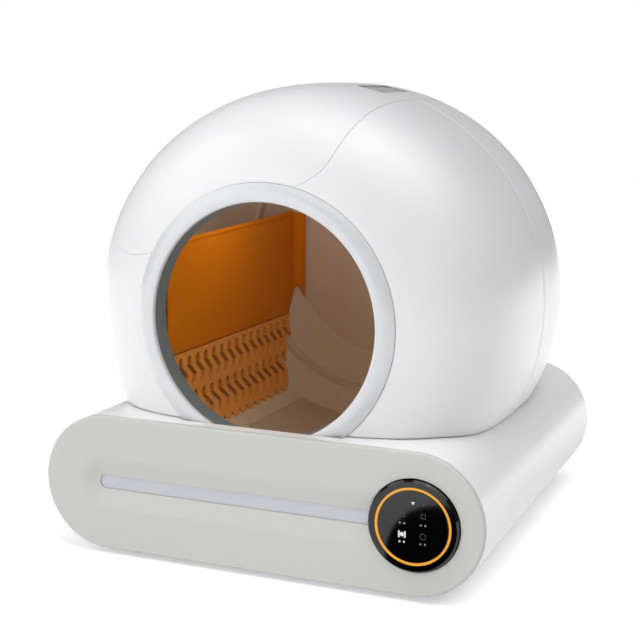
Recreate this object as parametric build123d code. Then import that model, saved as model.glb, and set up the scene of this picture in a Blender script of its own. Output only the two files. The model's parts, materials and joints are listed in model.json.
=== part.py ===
from build123d import *
from math import asin, cos, degrees, pi, radians, sin, sqrt
import os

os.makedirs("parts", exist_ok=True)

# Lengths are in millimetres. +X is the viewer's right, -Y the front, +Z up.
# The origin is on the ground, under the middle of the base.

# Base housing
base_width = 520.0
base_height = 155.0
base_depth = 520.0
foot_height = 6.0
housing_wall = 3.5
panel_thickness = 14.0
panel_flange = 4.5
panel_gap = 1.2
rear_cover_thickness = 6.5
rear_cover_proud = 4.5
base_top = foot_height + base_height
base_mid = foot_height + base_height / 2
end_x = (base_width - base_height) / 2
inner_floor = foot_height + housing_wall
inner_top = base_top - housing_wall
housing_front_depth = panel_flange + panel_gap
frame_front_depth = panel_thickness + panel_gap
housing_back_depth = base_depth + rear_cover_proud - rear_cover_thickness
front_y = -base_depth / 2
rear_y = base_depth / 2

# Clearances
fit_gap = 0.3
seam_gap = 0.7
slide_gap = 0.3
pin_gap = 0.05
overrun = 20.0

# Ball shell: a superellipse turned about a level axis that runs front to back
ball_side_margin = 4.3
ball_sink = 140.7
ball_front_depth = 31.0
ball_rear_half = 206.0
ball_mid_step = 20.0
ball_power = 4.8
ball_rear_power = 2.4
ball_rear_inset = 105.7
ball_rear_flat_inset = 18.0
ball_rear_flat_step = 7.0
shell_wall = 3.0
side_seam_step = 69.0
shell_base_gap = 0.8
shell_rear_lift = 13.0
ball_radius = base_width / 2 - ball_side_margin
ball_rise = ball_radius - ball_sink
ball_z = base_top + ball_rise
ball_mid_depth = base_depth - ball_rear_half
ball_reach = ball_mid_depth - ball_front_depth
ball_rear_mid_depth = ball_mid_depth - ball_mid_step
ball_rear_reach = base_depth - ball_rear_mid_depth
ball_rear_radius = ball_radius - ball_rear_inset
ball_rear_flat_radius = ball_rear_radius - ball_rear_flat_inset
side_seam_depth = ball_mid_depth - side_seam_step

# Plinth rim inside the foot of the ball
plinth_wall = 3.0
plinth_height = 14.0

# Entry ring and tunnel
entry_radius = base_width / 4
ring_bead = 20.5
ring_front_depth = 21.5
ring_inner_depth = 23.5
ring_outer_depth = 27.0
ring_crown_depth = 22.3
ring_edge = 2.0
ring_lip_depth = 26.5
ring_back_depth = 42.0
ring_spigot = 3.5
ring_flange_reach = 28.0
ring_flange = 2.5
ring_notch_gap = 1.5
tunnel_wall = 2.5
tunnel_back_depth = 47.0
tunnel_taper = 2.0
ring_flange_radius = entry_radius + ring_flange_reach

# Top cover
cover_right_angle = 68.3
cover_left_angle = 160.0
cover_rear_margin = 120.0
cover_right_flare = 7.9
cover_left_flare = 8.0
cover_right_flare_reach = 60.0
cover_left_flare_reach = 85.0
cover_right_flare_power = 2.2
cover_left_flare_power = 3.0
cover_rear_depth = base_depth - cover_rear_margin
cover_right_flare_radius = entry_radius + cover_right_flare_reach
cover_left_flare_radius = entry_radius + cover_left_flare_reach

# Gears
gear_module = 5.0
gear_rim_inset = 19.5
pinion_teeth = 12
gear_width = 14.0
gear_backlash = 0.7
gear_root_share = 1.25
pressure_angle = 20.0
pinion_angle = -60.0
pinion_play = 0.2
shaft_radius = 4.0

# Drum
drum_clearance = 43.7
drum_lift = 30.0
drum_wall = 3.0
drum_mouth_gap = 17.0
drum_mouth_margin = 42.0
drum_swell_length = 115.9
drum_swell_power = 2.3
drum_lip = 4.0
drum_back_margin = 85.0
gear_seat_setback = 49.0
gear_seat_inset = 12.5
gear_shoulder_step = 6.0
gear_seat_length = 16.0
drum_taper_length = 41.0
drum_knee_setback = 22.0
drum_knee_share = 0.75
divider_side_share = 0.646
divider_back_step = 3.048
port_front_step = 23.0
port_back_step = 19.0
port_low_angle = 152.0
port_high_angle = 118.0
drum_radius = ball_radius - drum_clearance
drum_rise = ball_rise + drum_lift
drum_z = base_top + drum_rise
drum_mouth_depth = tunnel_back_depth + drum_mouth_gap
drum_mouth_radius = entry_radius + drum_mouth_margin
drum_swell_depth = drum_mouth_depth + drum_swell_length
mouth_share = (1 - (drum_mouth_radius / drum_radius) ** drum_swell_power) ** (1 / drum_swell_power)
drum_swell_reach = drum_swell_length / mouth_share
drum_back_depth = base_depth - drum_back_margin
gear_seat_depth = drum_back_depth - gear_seat_setback
drum_straight_end_depth = gear_seat_depth - drum_taper_length
drum_knee_depth = drum_back_depth - drum_knee_setback
gear_teeth = round(2 * (drum_radius - gear_rim_inset) / gear_module)
gear_pitch_radius = gear_module * gear_teeth / 2
gear_seat_radius = gear_pitch_radius - gear_seat_inset
gear_shoulder_radius = gear_seat_radius + gear_shoulder_step
divider_side = drum_radius * divider_side_share
drum_back_radius = divider_side + divider_back_step
drum_knee_radius = drum_back_radius + (gear_seat_radius - drum_back_radius) * drum_knee_share
port_front_depth = drum_swell_depth + port_front_step
port_back_depth = drum_straight_end_depth - port_back_step

# Liner, divider and sieve in the drum
liner_thickness = 2.4
liner_low_angle = -115.0
liner_high_angle = 8.0
divider_top_share = 0.215
divider_foot_share = 0.4057
divider_thickness = 3.0
divider_bead = 3.6
divider_front_gap = 10.0
divider_edge_return = 16.0
knee_side_share = 0.604
knee_drop_share = 0.66
low_side_share = 0.519
low_drop_share = 0.849
foot_side_share = 0.448
foot_drop_share = 0.877
sieve_thickness = 5.0
slot_width = 10.0
slot_sway = 5.0
slot_leg = 12.0
slot_tip = 4.0
slot_pitch = 21.1
slot_row_pitch = 40.5
slot_top_gap = 5.5
slot_rows = 3
slot_front_step = 20.4
stud_radius = 1.8
stud_height = 1.6
stud_rise = 2.0
divider_top_rise = drum_radius * divider_top_share
divider_foot_drop = drum_radius * divider_foot_share
divider_front_depth = drum_mouth_depth + divider_front_gap

# Pinion, between the drum's ring gear and the motor
pinion_pitch_radius = gear_module * pinion_teeth / 2
gear_distance = gear_pitch_radius + pinion_pitch_radius + pinion_play
pinion_x = gear_distance * cos(radians(pinion_angle))
pinion_z = drum_z + gear_distance * sin(radians(pinion_angle))

# Support rollers
roller_radius = 12.0
roller_width = 14.0
roller_angle = 32.0
roller_front_step = 12.0
roller_rear_step = 8.0
axle_radius = 3.0
bracket_wall = 2.5
bracket_width = 26.0
bracket_play = 0.5
roller_edge = 1.0
axle_head_radius = 4.5
axle_head = 1.5
roller_front_depth = drum_swell_depth + roller_front_step
roller_rear_depth = drum_straight_end_depth - roller_rear_step
roller_z = drum_z - drum_radius - roller_radius - fit_gap

# Cradle under the drum, and the opening it hangs in
cradle_gap = 4.0
cradle_wall = 3.0
cradle_front_step = 15.0
cradle_back_step = 39.0
cradle_edge_inset = 2.6
chute_width = 124.0
base_opening_gap = 10.3
base_opening_front_depth = 57.0
base_opening_rear_margin = 42.0
base_opening_corner = 24.0
cradle_front_depth = drum_swell_depth - cradle_front_step
cradle_back_depth = gear_seat_depth + cradle_back_step
cradle_edge_x = end_x - cradle_edge_inset
base_opening_width = 2 * (sqrt(drum_radius ** 2 - drum_rise ** 2) + base_opening_gap)
base_opening_back_depth = base_depth - base_opening_rear_margin

# Gear motor
motor_gap = 1.0
motor_plate = 3.0
motor_plate_width = 60.0
motor_plate_reach = 20.9
motor_plate_foot = 30.0
gearbox_radius = 18.5
gearbox_length = 26.0
motor_radius = 16.0
motor_length = 46.0
motor_nose_radius = 6.0
motor_nose = 5.0

# Display
display_rim_margin = 28.2
display_shift = 2.1
display_proud = 4.5
display_bevel = 2.0
display_aperture_gap = 1.0
light_inset = 8.0
light_band = 3.2
display_wall = 3.0
lens_thickness = 2.0
board_thickness = 1.6
display_x = end_x + display_shift
display_radius = base_height / 2 - display_rim_margin
light_outer_radius = display_radius - light_inset

# Bottom plate, feet and weighing cells
plate_side_inset = 4.5
plate_end_inset = 28.0
plate_corner = 20.0
plate_gap = 0.5
foot_radius = 15.0
foot_side_inset = 28.0
foot_end_inset = 27.0
foot_chamfer = 1.5
cell_length = 34.0
tab_width = 10.0
tab_length = 18.0
tab_height = 6.0
plate_width = base_width - base_height - 2 * plate_side_inset
plate_depth = base_depth - 2 * plate_end_inset
foot_x = plate_width / 2 - foot_side_inset
foot_y = plate_depth / 2 - foot_end_inset

# Waste drawer
tray_left_inset = 10.0
tray_right_gap = 12.3
tray_floor = 12.0
tray_head_room = 15.0
tray_back_step = 10.0
tray_wall = 2.5
tray_corner = 14.0
tray_rim = 6.0
bag_frame_height = 3.0
bag_frame_width = 12.0
rail_wall = 3.0
rail_height = 15.0
rail_ledge = 12.0
rail_back_gap = 8.0
frame_thickness = 3.0
frame_clearance = 2.5
tray_left = plate_width / 2 - tray_left_inset
tray_right = display_x - display_radius - tray_right_gap
tray_top = drum_z - drum_radius - tray_head_room
tray_back_depth = gear_seat_depth - tray_back_step
rail_back_depth = tray_back_depth + rail_back_gap

# Dished groove and strip in the drawer front
groove_depth = 6.5
groove_reach = 33.0
groove_lip = 0.15
strip_height = 16.0
strip_left_reach = 9.6
strip_recess = 1.6
strip_thickness = 1.2
panel_edge = 3.2
panel_pocket_depth = 3.0
panel_rib = 3.0
panel_pocket_columns = 6
strip_left = end_x + strip_left_reach

# Circuit board
circuit_width = 40.0
circuit_depth = 110.0
circuit_post = 6.0
circuit_post_radius = 3.0
chip_height = 2.5
chip_shares = ((-0.2, 0.25, 0.3), (0.2, 0.2, 0.22), (0, -0.2, 0.34), (0.3, -0.38, 0.16))

# Grip on the top cover
grip_angle = 77.5
grip_step = 67.0
grip_length = 100.0
grip_width = 34.0
grip_depth = 8.0
grip_floor = 2.0
grip_corner = 5.0
grip_wall = 1.6
flap_thickness = 3.0
flap_finger_gap = 13.0
flap_sink = 1.2
hinge_pin_radius = 1.25
hinge_barrel_radius = 2.6
grip_mid_depth = ball_mid_depth - grip_step

# Power inlet, vents and screws
inlet_end_inset = 32.5
inlet_foot = 40.0
inlet_body_radius = 8.0
inlet_body_length = 14.0
inlet_bore_radius = 2.85
inlet_flange_radius = 11.0
inlet_flange = 2.0
inlet_pin_radius = 1.05
inlet_depth = 9.5
vent_width = 5.0
vent_length = 46.0
vent_pitch = 14.0
vent_count = 14
screw_head_radius = 3.4
screw_head = 2.2
screw_radius = 1.6
screw_length = 9.0
boss_radius = 4.5
boss_length = 14.0
inlet_side = end_x - inlet_end_inset
inlet_height = foot_height + inlet_foot

# Axes, and how finely the curves are drawn
ball_axis = Axis((0, 0, ball_z), (0, 1, 0))
drum_axis = Axis((0, 0, drum_z), (0, 1, 0))
front_points = 7
rear_points = 6
swell_points = 6


def behind(depth):
    """The y of a place at this depth behind the front face."""
    return front_y + depth


def slab(outline, front_depth, back_depth):
    """An outline drawn in x and z, carried from one depth to another."""
    back = Plane.XZ.offset(-behind(back_depth))
    return extrude(back * outline, back_depth - front_depth)


def stadium(grow=0.0):
    """The rounded outline of the base, grown all round."""
    return Pos(0, base_mid) * SlotOverall(base_width + 2 * grow, base_height + 2 * grow)


def disc(x, z, radius, front_depth, back_depth):
    """A round disc or rod that lies along Y."""
    return slab(Pos(x, z) * Circle(radius), front_depth, back_depth)


def brick(x_low, x_high, y_low, y_high, z_low, z_high):
    """A block between two corners."""
    block = Box(x_high - x_low, y_high - y_low, z_high - z_low)
    return Pos((x_low + x_high) / 2, (y_low + y_high) / 2, (z_low + z_high) / 2) * block


def turned(face, z, axis):
    """A face drawn in depth and radius, turned round an axis with its seam underneath."""
    drawn = Plane.YZ * (Pos(front_y, z) * mirror(face, Plane.XZ))
    return revolve(drawn, axis, 360)


def wedge(z, angle_low, angle_high, radius, front_depth, back_depth):
    """A slice of cake about a level axis, between two angles from +X."""
    middle = (angle_low + angle_high) / 2
    reach = radius / cos(radians((angle_high - angle_low) / 4))
    corners = [(0, z)]
    for angle in (angle_low, (angle_low + middle) / 2, middle, (middle + angle_high) / 2, angle_high):
        corners.append((reach * cos(radians(angle)), z + reach * sin(radians(angle))))
    return slab(make_face(Polyline(corners, close=True)), front_depth, back_depth)


def swelling_points(radius, reach, power, mid_depth, side, first, last, count, inset):
    """Points along a superellipse, in depth and radius, set in along its normal."""
    points = []
    for step in range(count + 1):
        angle = radians(first + (last - first) * step / count)
        along = max(cos(angle), 0.0) ** (2 / power)
        out = sin(angle) ** (2 / power)
        slope_along = along ** (power - 1) / reach
        slope_out = out ** (power - 1) / radius
        length = sqrt(slope_along ** 2 + slope_out ** 2)
        depth = mid_depth + side * (reach * along - inset * slope_along / length)
        points.append((depth, radius * out - inset * slope_out / length))
    return points


def angle_at_radius(radius, full_radius, power):
    """The superellipse's angle where it has this radius."""
    return degrees(asin((radius / full_radius) ** (power / 2)))


def angle_at_depth(distance, reach, power):
    """The superellipse's angle at this distance from its widest ring."""
    return 90.0 - degrees(asin((distance / reach) ** (power / 2)))


def ball_curve(inset):
    """The ball's outline from the entry ring to the edge of its flat back, set in from the surface."""
    first = angle_at_radius(entry_radius + ring_bead + seam_gap, ball_radius, ball_power)
    last = angle_at_depth(ball_mid_step + overrun, ball_reach, ball_power)
    front = swelling_points(
        ball_radius, ball_reach, ball_power, ball_mid_depth, -1, first, last, front_points, inset
    )
    back = angle_at_radius(ball_rear_radius, ball_radius, ball_rear_power)
    rear = swelling_points(
        ball_radius, ball_rear_reach, ball_rear_power, ball_rear_mid_depth, 1, 90.0, back, rear_points, inset
    )
    return front + rear[1:]


def ball_wall(outer_inset, inner_inset):
    """A wall of the ball between two insets, turned whole, with its flat back."""
    outer = ball_curve(outer_inset)
    inner = ball_curve(inner_inset)
    outer_back = outer[-1][0] + ball_rear_flat_step
    inner_back = outer_back - inner_inset + outer_inset
    edges = Spline(*outer) + Polyline(
        outer[-1],
        (outer_back, ball_rear_flat_radius - outer_inset),
        (outer_back, 0),
        (inner_back, 0),
        (inner_back, ball_rear_flat_radius - inner_inset),
        inner[-1],
    )
    edges += Spline(*inner) + Line(inner[0], outer[0])
    return turned(make_face(edges), ball_z, ball_axis)


def band(outer, inner):
    """A face between two curves that run the same way."""
    edges = Spline(*outer) + Line(outer[-1], inner[-1]) + Spline(*inner) + Line(inner[0], outer[0])
    return make_face(edges)


def seam_point(radius, ray, flare, flare_radius, power, shift):
    """A point of the cover's seam, seen from the front, moved sideways by a shift."""
    share = max(flare_radius - radius, 0.0) / (flare_radius - entry_radius - ring_bead)
    angle = radians(ray + flare * share ** power) + shift / radius
    return (radius * cos(angle), ball_z + radius * sin(angle))


def right_seam_point(radius, shift):
    """A point of the cover's right seam."""
    flare = cover_right_flare
    power = cover_right_flare_power
    return seam_point(radius, cover_right_angle, flare, cover_right_flare_radius, power, shift)


def left_seam_point(radius, shift):
    """A point of the cover's left seam."""
    flare = -cover_left_flare
    power = cover_left_flare_power
    return seam_point(radius, cover_left_angle, flare, cover_left_flare_radius, power, -shift)


def cover_outline(shift):
    """The top cover seen from the front: its two seams, closed far outside and at the ring."""
    near = entry_radius + ring_bead / 2
    far = ball_radius + overrun
    right = []
    left = []
    for share in (0, 1 / 4, 1 / 2, 3 / 4, 1):
        r_right = near + (cover_right_flare_radius - near) * share
        r_left = near + (cover_left_flare_radius - near) * share
        right.append(right_seam_point(r_right, shift))
        left.append(left_seam_point(r_left, shift))
    right_far = right_seam_point(far, shift)
    left_far = left_seam_point(far, shift)
    crown = (0, ball_z + far * 2)
    edges = Spline(*right) + Polyline(right[-1], right_far, crown, left_far, left[-1])
    edges += Spline(*left) + Line(left[0], right[0])
    return make_face(edges)


def base_block():
    """What the shell stands clear of: the base, and a wedge that rises behind the side seam."""
    outline = stadium(shell_base_gap)
    block = slab(outline, -overrun, base_depth + overrun)
    start = Plane.XZ.offset(-behind(side_seam_depth)) * outline
    rise = shell_rear_lift / (base_depth - side_seam_depth)
    return block + extrude(start, base_depth, dir=(0, 1, rise))


def under_base():
    """All that lies lower than the middle of the base, where the ball has no wall."""
    below = Pos(0, base_mid - ball_radius / 2) * Rectangle(base_width, ball_radius)
    return slab(below, -overrun, base_depth + overrun)


def make_shells():
    """Front shells, rear shell and top cover of the ball."""
    half_seam = seam_gap / 2
    wall = ball_wall(0, shell_wall)
    everywhere = Pos(0, ball_z) * Circle(ball_radius + overrun)
    ahead = slab(everywhere, 0, side_seam_depth - half_seam)
    aback = slab(everywhere, side_seam_depth + half_seam, base_depth)
    opening = slab(cover_outline(0), 0, cover_rear_depth)
    lid = slab(cover_outline(seam_gap), 0, cover_rear_depth - seam_gap)
    body = wall - opening - base_block() - under_base()
    front_left, front_right = (body & ahead).solids().sort_by(Axis.X)
    rear_shell = body & aback
    top_cover = wall & lid
    return front_left, front_right, rear_shell, top_cover


def make_plinth():
    """A rim that stands on the base inside the foot of the ball."""
    inset = shell_wall + 2 * fit_gap
    rim = ball_wall(inset, inset + plinth_wall)
    rim -= slab(stadium(fit_gap), -overrun, base_depth + overrun)
    rim -= under_base()
    rim &= slab(stadium(plinth_height), ring_back_depth + ring_flange + seam_gap, base_depth)
    return rim


def make_grip():
    """The grip's pocket, flap and hinge pin, and what they cut from the cover."""
    direction = (cos(radians(grip_angle)), 0, sin(radians(grip_angle)))
    surface = ball_radius
    origin = (surface * direction[0], behind(grip_mid_depth), ball_z + surface * direction[2])
    place = Plane(origin=origin, x_dir=(0, 1, 0), z_dir=direction)
    half = grip_length / 2
    hole = extrude(RectangleRounded(grip_length, grip_width, grip_corner), overrun, both=True)
    tub_length = grip_length - 2 * fit_gap
    tub_width = grip_width - 2 * fit_gap
    sag = ball_radius - sqrt(ball_radius ** 2 - (grip_width / 2) ** 2)
    tub_outline = RectangleRounded(tub_length, tub_width, grip_corner - fit_gap)
    tub = Pos(0, 0, -grip_depth - grip_floor) * extrude(tub_outline, grip_depth + grip_floor - sag)
    well = RectangleRounded(tub_length - 2 * grip_wall, tub_width - 2 * grip_wall, grip_corner - grip_wall)
    tub -= Pos(0, 0, -grip_depth) * extrude(well, grip_depth)

    pin_x = half - fit_gap - grip_wall - hinge_barrel_radius - fit_gap
    pin_z = -flap_sink - sag - hinge_barrel_radius
    clear_width = tub_width - 2 * grip_wall - 2 * fit_gap
    flap_front = -half + flap_finger_gap
    flap_mid = pin_z + hinge_barrel_radius - flap_thickness / 2
    neck_width = clear_width - 2 * grip_corner
    flap_back = pin_x - grip_corner
    flap = Box(flap_back - flap_front, clear_width, flap_thickness)
    flap = fillet(flap.edges().filter_by(Axis.Z).sort_by(Axis.X)[:2], grip_corner - grip_wall)
    flap = Pos((flap_back + flap_front) / 2, 0, flap_mid) * flap
    flap += Pos(pin_x - grip_corner / 2, 0, flap_mid) * Box(grip_corner, neck_width, flap_thickness)
    barrel = Rot(90, 0, 0) * Cylinder(hinge_barrel_radius, neck_width)
    flap += Pos(pin_x, 0, pin_z) * barrel
    flap_bore = Rot(90, 0, 0) * Cylinder(hinge_pin_radius + pin_gap, clear_width + overrun)
    flap -= Pos(pin_x, 0, pin_z) * flap_bore
    pin = Pos(pin_x, 0, pin_z) * (Rot(90, 0, 0) * Cylinder(hinge_pin_radius, tub_width - grip_wall))
    tub_bore = Rot(90, 0, 0) * Cylinder(hinge_pin_radius + pin_gap, tub_width - grip_wall)
    tub -= Pos(pin_x, 0, pin_z) * tub_bore
    return place * hole, place * tub, place * flap, place * pin


def make_entry():
    """The entry ring with its rounded face, and the sleeve inside it."""
    inner = entry_radius
    outer = entry_radius + ring_bead
    edge = inner + ring_edge
    arc_share = 1 - sqrt(1 / 2)
    edges = ThreePointArc(
        (ring_inner_depth, inner),
        (ring_front_depth + ring_edge * arc_share, inner + ring_edge * arc_share),
        (ring_front_depth, edge),
    )
    edges += ThreePointArc(
        (ring_front_depth, edge),
        (ring_crown_depth, (edge + outer) / 2),
        (ring_outer_depth, outer),
    )
    edges += Polyline(
        (ring_outer_depth, outer),
        (ring_back_depth, outer),
        (ring_back_depth, ring_flange_radius),
        (ring_back_depth + ring_flange, ring_flange_radius),
        (ring_back_depth + ring_flange, inner + ring_spigot),
        (ring_lip_depth, inner + ring_spigot),
        (ring_lip_depth, inner),
        (ring_inner_depth, inner),
    )
    ring = turned(make_face(edges), ball_z, ball_axis)

    wide = inner + fit_gap
    narrow = wide - tunnel_taper
    rim_depth = tunnel_back_depth - tunnel_wall
    tunnel = Polyline(
        (ring_lip_depth + fit_gap, wide),
        (ring_lip_depth + fit_gap, wide + tunnel_wall),
        (rim_depth, narrow + tunnel_wall),
        (rim_depth, narrow + 2 * tunnel_wall),
        (tunnel_back_depth, narrow + 2 * tunnel_wall),
        (tunnel_back_depth, narrow),
        close=True,
    )
    return ring, turned(make_face(tunnel), ball_z, ball_axis)


def drum_swell(inset):
    """The swelling front of the drum, from its mouth to the straight part."""
    first = angle_at_radius(drum_mouth_radius, drum_radius, drum_swell_power)
    reach = drum_swell_reach
    power = drum_swell_power
    return swelling_points(drum_radius, reach, power, drum_swell_depth, -1, first, 90.0, swell_points, inset)


def make_drum():
    """The two halves of the drum, with the waste port in the rear one."""
    outer = drum_swell(0)
    inner = drum_swell(drum_wall)
    front = turned(band(outer, inner), drum_z, drum_axis)
    lip_depth, lip_radius = inner[0]
    lip = Pos(lip_depth + drum_wall / 2, lip_radius) * Circle(drum_lip)
    front += turned(Sketch() + lip, drum_z, drum_axis)

    tail_outer = [
        (drum_swell_depth, drum_radius),
        (drum_straight_end_depth, drum_radius),
        (gear_seat_depth, gear_shoulder_radius),
        (gear_seat_depth, gear_seat_radius),
        (gear_seat_depth + gear_seat_length, gear_seat_radius),
        (drum_knee_depth, drum_knee_radius),
        (drum_back_depth, drum_back_radius),
        (drum_back_depth, 0),
    ]
    tail_inner = [
        (drum_back_depth - drum_wall, 0),
        (drum_back_depth - drum_wall, drum_back_radius - drum_wall),
        (drum_knee_depth - drum_wall, drum_knee_radius - drum_wall),
        (gear_seat_depth + gear_seat_length - drum_wall, gear_seat_radius - drum_wall),
        (gear_seat_depth - drum_wall, gear_seat_radius - drum_wall),
        (gear_seat_depth - drum_wall, gear_shoulder_radius - drum_wall),
        (drum_straight_end_depth, drum_radius - drum_wall),
        (drum_swell_depth, drum_radius - drum_wall),
    ]
    rear = turned(make_face(Polyline(tail_outer + tail_inner, close=True)), drum_z, drum_axis)
    far = drum_radius + overrun
    port = wedge(drum_z, port_high_angle, port_low_angle, far, port_front_depth, port_back_depth)
    core = disc(0, drum_z, drum_radius - overrun, port_front_depth, port_back_depth)
    rear -= port - core
    return front, rear


def drum_room(inset):
    """The space inside the drum, kept clear of its wall."""
    inner = drum_swell(drum_wall + inset)
    clear = drum_wall + inset
    corners = [
        (drum_straight_end_depth - inset / 2, drum_radius - clear),
        (gear_seat_depth - clear, gear_shoulder_radius - clear),
        (gear_seat_depth - clear, gear_seat_radius - clear),
        (gear_seat_depth + gear_seat_length - clear, gear_seat_radius - clear),
        (drum_knee_depth - clear, drum_knee_radius - clear),
        (drum_back_depth - clear, drum_back_radius - clear),
        (drum_back_depth - clear, 0),
        (inner[0][0], 0),
        inner[0],
    ]
    edges = Spline(*inner) + Polyline(inner[-1], *corners)
    return turned(make_face(edges), drum_z, drum_axis)


def wall_outline(points, thickness):
    """A sheet of even thickness that follows points, drawn in x and height from the drum's axis."""
    path = Polyline(*points)
    return Pos(0, drum_z) * make_face(offset(path, thickness / 2).wires()[0])


def make_inside():
    """Liner, divider and sieve."""
    room = drum_room(fit_gap)
    far = drum_radius + overrun
    arc = wedge(drum_z, liner_low_angle, liner_high_angle, far, drum_swell_depth, drum_straight_end_depth)
    liner = room & arc
    liner -= disc(0, drum_z, drum_radius - drum_wall - fit_gap - liner_thickness, 0, base_depth)

    ends = [(-divider_side, -divider_foot_drop), (-divider_side, divider_top_rise)]
    plate = slab(wall_outline(ends, divider_thickness), divider_front_depth, drum_back_depth)
    bead = disc(-divider_side, drum_z + divider_top_rise, divider_bead, divider_front_depth, drum_back_depth)
    flange_back = behind(drum_back_depth - drum_wall - fit_gap)
    rear_flange = brick(
        -divider_side,
        -divider_side + divider_edge_return,
        flange_back - divider_thickness,
        flange_back,
        drum_z - divider_foot_drop,
        drum_z + divider_top_rise,
    )
    divider = (plate + bead + rear_flange) & room

    side = divider_side + (sieve_thickness - divider_thickness) / 2
    top = (-side, -divider_foot_drop - (divider_thickness + sieve_thickness) / 2 - pin_gap)
    knee = (-drum_radius * knee_side_share, -drum_radius * knee_drop_share)
    low = (-drum_radius * low_side_share, -drum_radius * low_drop_share)
    foot = (-drum_radius * foot_side_share, -drum_radius * foot_drop_share - divider_thickness * 2)
    sheet = slab(wall_outline([top, knee, low, foot], sieve_thickness), divider_front_depth, drum_back_depth)
    slots, studs = make_slots()
    sieve = (sheet - slots) & room
    return liner, divider, sieve + studs


def slot_outline():
    """One zigzag slot, its top tip at the origin, drawn in depth and height."""
    half = slot_width / 2
    low = -3 * slot_leg
    return [
        (0, 0),
        (half - slot_sway * slot_tip / slot_leg, -slot_tip),
        (half - slot_sway, -slot_leg),
        (half + slot_sway, -2 * slot_leg),
        (half - slot_sway / 2, low + slot_tip),
        (-slot_sway, low),
        (-half - slot_sway / 2, low + slot_tip),
        (-half + slot_sway, -2 * slot_leg),
        (-half - slot_sway, -slot_leg),
        (-half - slot_sway * slot_tip / slot_leg, -slot_tip),
    ]


def make_slots():
    """Rows of zigzag slots, cut sideways through the sieve, and a stud over each rib between them."""
    first = divider_front_depth + slot_front_step
    count = int((drum_back_depth - first) / slot_pitch)
    top = drum_z - divider_foot_drop - slot_top_gap
    slot = make_face(Polyline(slot_outline(), close=True))
    rows = []
    studs = []
    for column in range(count):
        depth = first + column * slot_pitch
        for row in range(slot_rows):
            rows.append(Pos(behind(depth), top - row * slot_row_pitch) * slot)
        place = Pos(-divider_side + divider_thickness / 2, behind(depth - slot_pitch / 2), top + stud_rise)
        stud = Pos(0, 0, stud_height / 2) * Cylinder(stud_radius, stud_height)
        stud = chamfer(stud.edges().group_by(Axis.Z)[-1], stud_height / 2)
        studs.append(place * Rot(0, 90, 0) * stud)
    cut = Plane.YZ.offset(-divider_side - overrun) * (Sketch() + rows)
    return extrude(cut, divider_side), studs


def gear_outline(teeth, phase):
    """A gear's outline: involute flanks, in straight runs, about the origin."""
    pitch = gear_module * teeth / 2
    root = pitch - gear_module * gear_root_share
    tip = pitch + gear_module
    base = pitch * cos(radians(pressure_angle))
    roll_pitch = sqrt(pitch ** 2 - base ** 2) / base
    spread_pitch = roll_pitch - radians(pressure_angle)
    half_tooth = pi / 2 / teeth - gear_backlash / 4 / pitch
    corners = []
    for tooth in range(teeth):
        middle = radians(phase) + 2 * pi * tooth / teeth
        flank = []
        for share in (0, 1 / 3, 2 / 3, 1):
            radius = max(base, root) + (tip - max(base, root)) * share
            roll = sqrt(max(radius ** 2 - base ** 2, 0)) / base
            spread = roll - atan_of(roll)
            flank.append((radius, half_tooth + spread_pitch - spread))
        if root < base:
            flank.insert(0, (root, flank[0][1]))
        for radius, turn in flank:
            corners.append((radius * cos(middle - turn), radius * sin(middle - turn)))
        for radius, turn in reversed(flank):
            corners.append((radius * cos(middle + turn), radius * sin(middle + turn)))
    return make_face(Polyline(corners, close=True))


def atan_of(value):
    """The angle whose tangent is this value."""
    return asin(value / sqrt(1 + value ** 2))


def make_gears():
    """The drum's ring gear, the pinion in mesh with it and the motor's shaft."""
    front = gear_seat_depth
    back = gear_seat_depth + gear_width
    half_pitch = 180.0 / gear_teeth
    ring = gear_outline(gear_teeth, pinion_angle + half_pitch)
    ring -= Circle(gear_seat_radius + fit_gap)
    ring_gear = slab(Pos(0, drum_z) * ring, front, back)
    small = gear_outline(pinion_teeth, pinion_angle + 180.0)
    small -= Circle(shaft_radius + pin_gap)
    pinion = slab(Pos(pinion_x, pinion_z) * small, front, back)
    shaft = disc(pinion_x, pinion_z, shaft_radius, front, back + motor_plate + motor_nose)
    return ring_gear, pinion, shaft


def make_motor():
    """Gear motor and the bracket that holds it."""
    plate_front = gear_seat_depth + gear_width + motor_gap
    plate_back = plate_front + motor_plate
    bracket = brick(
        pinion_x - motor_plate_width / 2,
        pinion_x + motor_plate_width / 2,
        behind(plate_front),
        behind(plate_back),
        inner_floor,
        pinion_z + motor_plate_reach,
    )
    foot = brick(
        pinion_x - motor_plate_width / 2,
        pinion_x + motor_plate_width / 2,
        behind(plate_back),
        behind(plate_back + motor_plate_foot),
        inner_floor,
        inner_floor + motor_plate,
    )
    bracket += foot
    hole_front = plate_front - motor_plate
    bracket -= disc(pinion_x, pinion_z, motor_nose_radius, hole_front, plate_back + motor_plate)
    gearbox = disc(pinion_x, pinion_z, gearbox_radius, plate_back, plate_back + gearbox_length)
    can_back = plate_back + gearbox_length + motor_length
    can = disc(pinion_x, pinion_z, motor_radius, plate_back + gearbox_length, can_back)
    nose = disc(pinion_x, pinion_z, motor_nose_radius, can_back, can_back + motor_nose)
    bore = disc(pinion_x, pinion_z, shaft_radius + pin_gap, plate_front, plate_back + gearbox_length)
    return bracket, gearbox + can + nose - bore


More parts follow.
